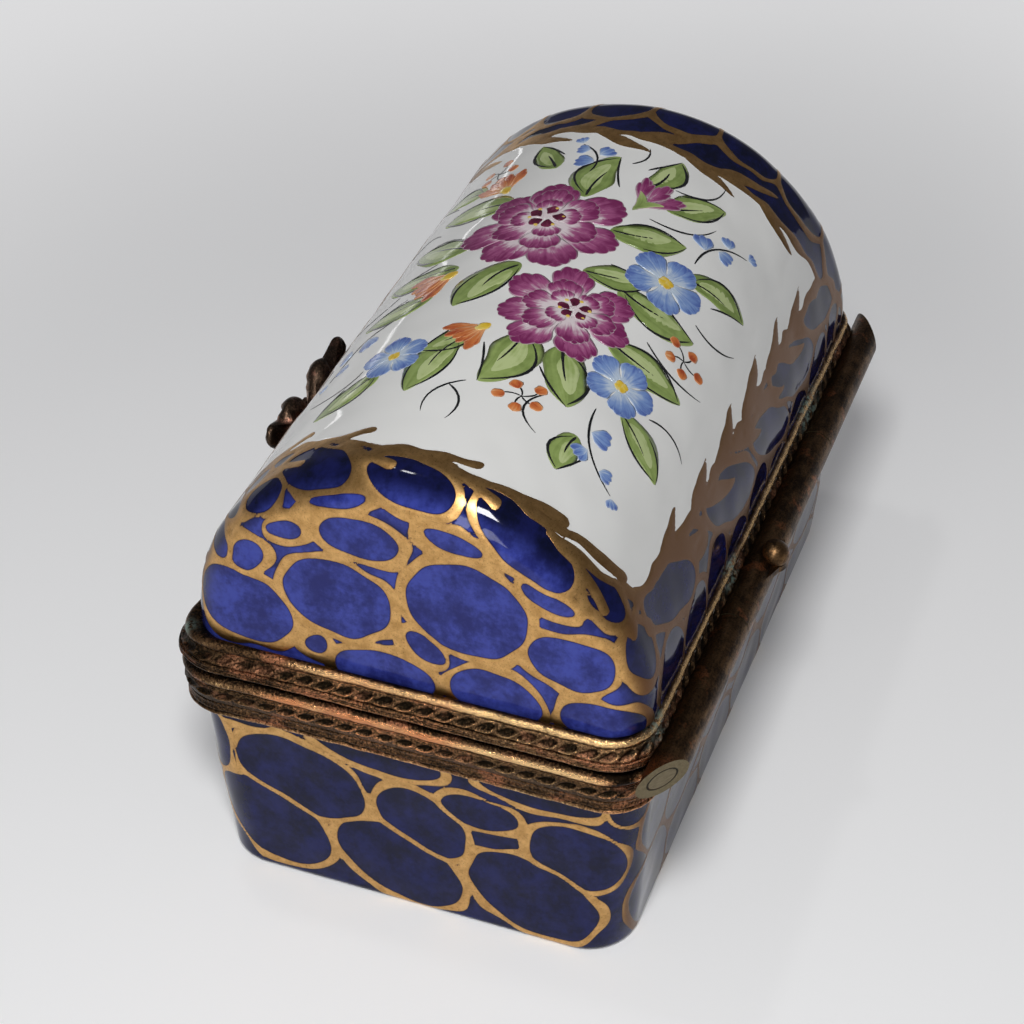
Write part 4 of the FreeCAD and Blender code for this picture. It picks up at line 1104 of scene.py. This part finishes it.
def add_petal(strokes, root, tip, width, layer, blades=5, shade=(1.15, 0.0)):
    """A petal brushed in strokes side by side that fan out from its root to a rounded rim."""
    root, tip = np.array(root), np.array(tip)
    chord = tip - root
    side = left_of(chord) / np.linalg.norm(chord)
    for number, spread in enumerate(np.linspace(-1, 1, blades)):
        end = tip + side * width * 0.66 * spread - chord * 0.17 * spread ** 2
        end = end + chord * strokes.random.uniform(-0.03, 0.03)
        start = root + side * width * 0.25 * spread
        strokes.add(start, end, -0.10 * spread, width * 2.0 / blades, layer + number % 2,
                    (0.74, 0.50), shade)


def add_peony(petals, hearts, stamens, x, y, radius, turn):
    """Three rings of cupped petals seen from above and a little from one side."""
    random = petals.random
    lean = way(turn + 2.6) * radius
    for ring, (count, reach, width, shift) in enumerate(PEONY_RINGS):
        middle = (x, y) + lean * shift
        for k in range(count):
            angle = turn + 0.5 * ring + math.tau * (k + random.uniform(-0.1, 0.1)) / count
            length = radius * reach * random.uniform(0.92, 1.05)
            add_petal(petals, middle + way(angle) * radius * 0.08, middle + way(angle) * length,
                      radius * width, 4 + 7 * ring + 3 * (k % 2), 5, (2.1, -0.15))
    middle = (x, y) + lean * 0.16
    for k in range(5):
        spot = middle + way(turn + 1.3 * k) * radius * 0.07
        end = spot + way(turn + 1.3 * k + 0.4) * radius * 0.17
        hearts.add(spot, end, 0.1, radius * 0.075, 26, (0.6, 0.6))
    for k in range(6):
        spot = middle + way(turn + math.tau * k / 6) * radius * 0.20
        stamens.add(spot - (0.16, 0), spot + (0.16, 0), 0.0, 0.17, 27, (0.5, 0.5))


def add_bud(petals, leaves, x, y, radius, turn):
    """A closed bud: three petals that wrap a point, held by two sepals."""
    foot = np.array([x, y]) - way(turn) * radius
    for k, spread in enumerate((-0.42, 0.42, 0.0)):
        add_petal(petals, foot, foot + way(turn + spread) * radius * 2.0, radius * 0.40, 5 + 3 * k, 4)
    for spread in (-0.5, 0.5):
        leaves.add(foot - way(turn) * 0.4, foot + way(turn + spread) * radius * 1.1, -0.3 * spread,
                   radius * 0.17, 16)


def add_tulip(petals, cups, x, y, length, turn):
    """A tulip seen from the side: five petals that open outwards over a small cup."""
    foot = np.array([x, y])
    for k, (spread, share) in enumerate(TULIP_PETALS):
        add_petal(petals, foot, foot + way(turn + spread) * length * share, length * 0.17, 6 + 2 * k, 3,
                  (0.95, 0.05))
    cups.add(foot - way(turn) * 0.3, foot + way(turn) * length * 0.28, 0.0, length * 0.13, 18, (0.5, 0.5))


def add_funnel(petals, cups, x, y, radius):
    """A funnel flower from above: five shallow lobes that pale towards a yellow throat."""
    middle = np.array([x, y])
    turn = petals.random.uniform(0, 1.2)
    for k in range(5):
        angle = turn + math.tau * k / 5
        add_petal(petals, middle + way(angle) * radius * 0.12, middle + way(angle) * radius, radius * 0.52,
                  5 + 3 * (k % 2) + (2 if k == 4 else 0), 5, (1.2, 0.1))
    for k in range(4):
        spot = middle + way(turn + 1.6 * k) * radius * 0.09
        cups.add(spot - way(k) * radius * 0.12, spot + way(k) * radius * 0.12, 0.0, radius * 0.11, 14,
                 (0.5, 0.5))


def add_bell_sprig(petals, lines, x0, y0, x1, y1, bow):
    """Small bells that hang to either side of a bowed stem."""
    start, end = np.array([x0, y0]), np.array([x1, y1])
    chord = end - start
    lines.add(start, end, bow, LINE_HALF_WIDTH * 0.8, 3, (0.4, 0.4))
    heading = math.atan2(chord[1], chord[0])
    for k, share in enumerate((0.30, 0.52, 0.74, 1.0)):
        spot = start + chord * share + left_of(chord) * bow * 4 * share * (1 - share)
        swing = heading + (0.0 if share == 1.0 else (1.1 if k % 2 else -1.1))
        size = 1.9 - 0.25 * k
        for spread in (-0.38, 0.38, 0.0):
            petals.add(spot + way(swing) * 0.25, spot + way(swing + spread) * size, 0.0, size * 0.26,
                       6 + (spread == 0.0), (0.62, 0.6), (0.9, 0.0))


def add_leaf(leaves, lines, x0, y0, x1, y1, width):
    """A pointed leaf in two strokes with a lighter middle, a loose dark outline and a midrib."""
    tip = np.array([x1, y1])
    root = np.array([x0, y0]) - TUCK * (tip - (x0, y0))
    chord = tip - root
    side = left_of(chord) / np.linalg.norm(chord)
    bow = leaves.random.uniform(-0.10, 0.10)
    leaves.add(root, tip, bow, width, 0, (0.44, 0.66), (0.15, 0.45))
    leaves.add(root + chord * 0.16 - side * width * 0.12, root + chord * 0.80 - side * width * 0.12, bow,
               width * 0.55, 1, (0.42, 0.6), (0.75, 1.2))
    ink = LINE_HALF_WIDTH * leaves.random.uniform(0.8, 1.15)
    lines.add(root + chord * 0.04, root + chord * 0.62, bow * 0.8 + 0.03, ink, 3, (0.3, 0.5))
    turned = 1 if leaves.random.uniform() < 0.5 else -1
    reach = width / np.linalg.norm(chord)
    lines.add(root + chord * 0.08 + side * turned * width * 0.20, tip - chord * 0.04,
              bow + turned * reach * 1.02, ink, 3, (0.6, 0.45))
    lines.add(root + chord * 0.40 - side * turned * width * 1.04, tip - side * turned * 0.1,
              bow - turned * reach * 0.22, ink * 0.8, 3, (0.4, 0.5))


# Each piece's enamel, and its colours where it is deep, pale and faded
ENAMELS = [
    ("enamel_leaves", "green_enamel", (0.145, 0.205, 0.052), (0.25, 0.33, 0.10), (0.42, 0.49, 0.23)),
    ("enamel_petals", "pink_enamel", (0.16, 0.016, 0.085), (0.31, 0.075, 0.19), (0.64, 0.56, 0.58)),
    ("enamel_hearts", "maroon_enamel", (0.035, 0.003, 0.012), (0.085, 0.006, 0.028), (0.16, 0.02, 0.06)),
    ("enamel_bells", "blue_enamel", (0.070, 0.12, 0.36), (0.17, 0.27, 0.52), (0.47, 0.55, 0.64)),
    ("enamel_cups", "yellow_enamel", (0.60, 0.36, 0.020), (0.66, 0.46, 0.04), (0.66, 0.54, 0.2)),
    ("enamel_tulips", "orange_enamel", (0.34, 0.055, 0.016), (0.55, 0.17, 0.045), (0.68, 0.42, 0.22)),
]


def make_enamel_spray():
    pink, heart, leaf, line, blue, yellow, orange = (Strokes(51 + k) for k in range(7))
    for leaf_at in LEAVES:
        add_leaf(leaf, line, *leaf_at)
    for x0, y0, x1, y1, bow in TENDRILS:
        line.add((x0, y0), (x1, y1), bow, LINE_HALF_WIDTH * 0.8, 2, (0.35, 0.45))
    for peony in PEONIES:
        add_peony(pink, heart, yellow, *peony)
    for bud in BUDS:
        add_bud(pink, leaf, *bud)
    for tulip in TULIPS:
        add_tulip(orange, yellow, *tulip)
    for funnel in FUNNELS:
        add_funnel(blue, yellow, *funnel)
    for sprig in BELL_SPRIGS:
        add_bell_sprig(blue, line, *sprig)
    for number, place in enumerate(BERRIES):
        for k in range(5):
            out = way(number + math.tau * k / 5)
            spot = place + out * (1.35 + 0.35 * (k % 2))
            line.add(place, spot, 0.15, LINE_HALF_WIDTH * 0.6, 1, (0.4, 0.4))
            orange.add(spot - out * 0.5, spot + out * 0.5, 0.0, 0.52, 4, (0.5, 0.5), (0.0, 0.7))
    for (name, *enamel), strokes in zip(ENAMELS, (leaf, pink, heart, blue, yellow, orange)):
        strokes.make(name, enamel_finish(*enamel))
    line.make("enamel_lines", ink_finish())


# Clasp ornament: a fan of four fluted lobes over a stem, cast in bronze

CLASP_LOW, CLASP_HIGH = box_mm("clasp_ornament")
# Axis from, to (share of the half width, height), half width at either end, half thickness
CLASP_LOBES = [
    (0.08, 18.4, 0.39, 23.15, 0.9, 1.90, 1.15), (0.12, 18.4, 0.86, 24.05, 0.6, 1.02, 0.58),
    (0.0, 20.6, 0.0, 17.7, 2.0, 1.25, 0.90),
]
CLASP_MIDDLE = (0.0, 21.3)
# The middle surface: its distance to the front of the origin, the height from which it leans out,
# and by how much over 5 mm
CLASP_FRONT, CLASP_BEND, CLASP_LEAN = 20.35, 19.8, 0.42
CLASP_TURNS, CLASP_RINGS = 260, 26
# Further than any of the outline's points lies from the middle, and the places tried on the way
CLASP_REACH, CLASP_TRIES = 9, 900


def clasp_swell(x, z):
    """Half thickness of the ornament at places in its plane, 0 outside its outline."""
    half = (CLASP_HIGH[0] - CLASP_LOW[0]) / 2
    swelling = np.zeros_like(x)
    for x0, z0, x1, z1, width0, width1, thick in CLASP_LOBES:
        for mirror in (1, -1):
            start = np.array([mirror * x0 * half, z0])
            chord = np.array([mirror * x1 * half, z1]) - start
            share = ((x - start[0]) * chord[0] + (z - start[1]) * chord[1]) / (chord @ chord)
            held = np.clip(share, 0, 1)
            width = width0 + (width1 - width0) * held
            away = np.hypot(x - start[0] - chord[0] * held, z - start[1] - chord[1] * held) / width
            cross = ((x - start[0]) * chord[1] - (z - start[1]) * chord[0]) / np.linalg.norm(chord) / width
            dome = np.sqrt(np.clip(1 - away ** 2, 0, 1))
            flute = 0.30 * np.exp(-(cross / 0.20) ** 2) * smooth_step(share, 0.35, 0.7) * (x1 > 0)
            swelling = np.maximum(swelling, thick * dome * (1 - flute))
    return swelling


def clasp_places():
    """Places in the ornament's plane: x and z of rings that grow to its outline, and of its middle."""
    angle = np.linspace(0, math.tau, CLASP_TURNS, endpoint=False)
    reach = np.linspace(0, CLASP_REACH, CLASP_TRIES)
    inside = clasp_swell(CLASP_MIDDLE[0] + np.outer(np.cos(angle), reach),
                         CLASP_MIDDLE[1] + np.outer(np.sin(angle), reach)) > 0
    edge = reach[CLASP_TRIES - 1 - np.argmax(inside[:, ::-1], axis=1)]
    share = np.sin(np.linspace(0, math.pi / 2, CLASP_RINGS + 1))[1:]
    return [np.append(middle + np.outer(share, edge * turned).ravel(), middle)
            for middle, turned in zip(CLASP_MIDDLE, (np.cos(angle), np.sin(angle)))]


def make_clasp_ornament():
    x, z = clasp_places()
    swelling = clasp_swell(x, z)
    middle = -CLASP_FRONT - CLASP_LEAN * np.maximum((z - CLASP_BEND) / 5, 0) ** 2
    cast = 0.03 * ripple(np.column_stack([x, z]), 1.1, 61) * np.minimum(swelling * 3, 1)
    low = smooth_step(z, 21.4, 23.6)
    front = middle - swelling - cast
    back = middle + np.minimum(swelling, 0.28 + 0.9 * low) + cast * low

    # The front and the back share the outermost ring, which is the rim
    rim = np.arange((CLASP_RINGS - 1) * CLASP_TURNS, CLASP_RINGS * CLASP_TURNS)
    front[rim] = back[rim]
    keep = np.ones(len(x), dtype=bool)
    keep[rim] = False
    index = np.cumsum(keep) - 1 + len(x)
    index[rim] = rim
    quads = grid_faces(CLASP_RINGS, CLASP_TURNS, closed_columns=True)
    hub = [[-1, j, (j + 1) % CLASP_TURNS] for j in range(CLASP_TURNS)]
    faces = []
    for grid, flip in ((np.arange(len(x)), False), (index, True)):
        faces += flipped(grid[quads].tolist() + grid[hub].tolist(), flip)
    points = np.concatenate([np.column_stack([x, front, z]), np.column_stack([x, back, z])[keep]])
    wear = np.clip(1.2 * np.concatenate([swelling, swelling[keep]]) - 0.45, 0, 0.8)
    make_piece("clasp_ornament_cast", points, faces, CLASP_BRASS, "lid",
               ["clasp_ornament"], {"wear": wear})


# Pieces that keep their solid and get a finish

def finish_solids():
    finishes = {
        TUBE_BRASS: ("hinge_knuckle_near", "hinge_knuckle_far", "hinge_knuckle_centre"),
        BALL_BRASS: ("stop_tab", "stop_ball"),
        FILED_PIN: ("hinge_pin",),
        PLASTER: ("base_cement", "lid_cement"),
        RIM_BRASS: ("catch_plate", "clasp_bracket"),
        CLASP_BRASS: ("catch_bead", "clasp_rivets"),
    }
    for material, nodes in finishes.items():
        for node in nodes:
            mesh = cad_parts[node].data
            mesh.materials.clear()
            mesh.materials.append(material)


# Floor, light and camera

# What the camera and the lamps look at, in millimetres
TARGET = (2.201, -1.996, 18.291)
# Angles are degrees from +X towards the hinge side, and up from level. Distances and sizes are metres.
CAMERA_AZIMUTH, CAMERA_ELEVATION, CAMERA_DISTANCE = 20.342, 38.873, 0.203126
CAMERA_LENS = 88.997
# Azimuth, elevation, distance, width, height and level. A white surface that faces a lamp of level 1
# squarely renders white.
LAMPS = {
    "key": (16, 54, 0.24, 0.045, 0.045, 0.68),
    "front": (-1, 18, 0.55, 0.14, 0.14, 0.16),
    "overhead": (-96, 73, 0.30, 0.020, 0.020, 0.05),
    "far_strip": (-140, 1, 0.60, 0.10, 0.015, 0.0035),
}
ROOM_COLOUR = (0.12, 0.12, 0.13, 1.0)

FLOOR_SIZE = 4.0
# The floor's own whiteness to the eye and in reflections, by metres from the middle of the box
FLOOR_GLOW_FROM, FLOOR_GLOW_TO = 0.06, 0.15
# Painted shade: the glow is kept low near the box, which keeps the box's reflections of the floor dark, and
# rises further out
FLOOR_GLOW_SHADED_NEAR, FLOOR_GLOW_FAR = 0.13, 0.42


def make_floor():
    bpy.ops.mesh.primitive_plane_add(size=FLOOR_SIZE, location=(0, 0, 0))
    floor = bpy.context.object
    floor.name = "floor"
    f = Finish("floor_paper")
    f.done(Base_Color=f.mix(f.noise(400.0, 2.0), (0.79, 0.79, 0.79), (0.81, 0.81, 0.81)), Roughness=0.9)
    seen = f.node("LightPath").outputs
    rays = f.calc("MAXIMUM", seen["Is Camera Ray"], seen["Is Glossy Ray"])
    rays = f.calc("MAXIMUM", rays, seen["Is Transmission Ray"])
    away = f.node("VectorMath", {0: f.place}, operation="LENGTH").outputs["Value"]
    # Painted shade round the box: less glow near it, more further out
    level = f.step(away, FLOOR_GLOW_FROM, FLOOR_GLOW_TO, FLOOR_GLOW_SHADED_NEAR, FLOOR_GLOW_FAR)
    glow = f.node("Emission", {"Strength": f.times(rays, level)}).outputs[0]
    both = f.node("AddShader", {0: f.shader.outputs["BSDF"], 1: glow})
    f.put(both.outputs[0], f.output.inputs["Surface"])
    floor.data.materials.append(f.material)


def aim(name, content, azimuth, elevation, distance):
    """Put a lamp or a camera in the scene, looking at the target from this side."""
    holder = bpy.data.objects.new(name, content)
    azimuth, elevation = math.radians(azimuth), math.radians(elevation)
    back = Vector((*way(azimuth) * math.cos(elevation), math.sin(elevation)))
    holder.location = Vector(TARGET) * MM + back * distance
    holder.rotation_euler = back.to_track_quat("Z", "Y").to_euler()
    bpy.context.scene.collection.objects.link(holder)
    return holder


def add_lamp(name, azimuth, elevation, distance, width, height, level):
    lamp = bpy.data.lights.new(name, "AREA")
    lamp.shape = "RECTANGLE"
    lamp.size, lamp.size_y = width, height
    lamp.energy = level * (math.pi * distance) ** 2
    aim(name, lamp, azimuth, elevation, distance)


def make_light():
    for name, lamp in LAMPS.items():
        add_lamp(name, *lamp)
    world = bpy.data.worlds.new("studio")
    bpy.context.scene.world = world
    world.use_nodes = True
    world.node_tree.nodes["Background"].inputs["Color"].default_value = ROOM_COLOUR


def make_camera():
    camera = bpy.data.cameras.new("camera")
    camera.lens = CAMERA_LENS
    camera.sensor_width = 36.0
    camera.clip_start = 0.01
    bpy.context.scene.camera = aim("camera", camera, CAMERA_AZIMUTH, CAMERA_ELEVATION, CAMERA_DISTANCE)


make_porcelain_base()
make_porcelain_lid()
make_rim("base_rim_profiled", BASE_SECTION, "base", "base_rim")
make_rim("lid_rim_profiled", LID_SECTION, "lid", "lid_rim")
make_rope("base_rope_pressed", BASE_ROPE, "base", "base_rope")
make_rope("lid_rope_pressed", LID_ROPE, "lid", "lid_rope")
make_enamel_spray()
make_clasp_ornament()
finish_solids()
make_floor()
make_light()
make_camera()
bpy.context.scene.view_settings.view_transform = "Standard"
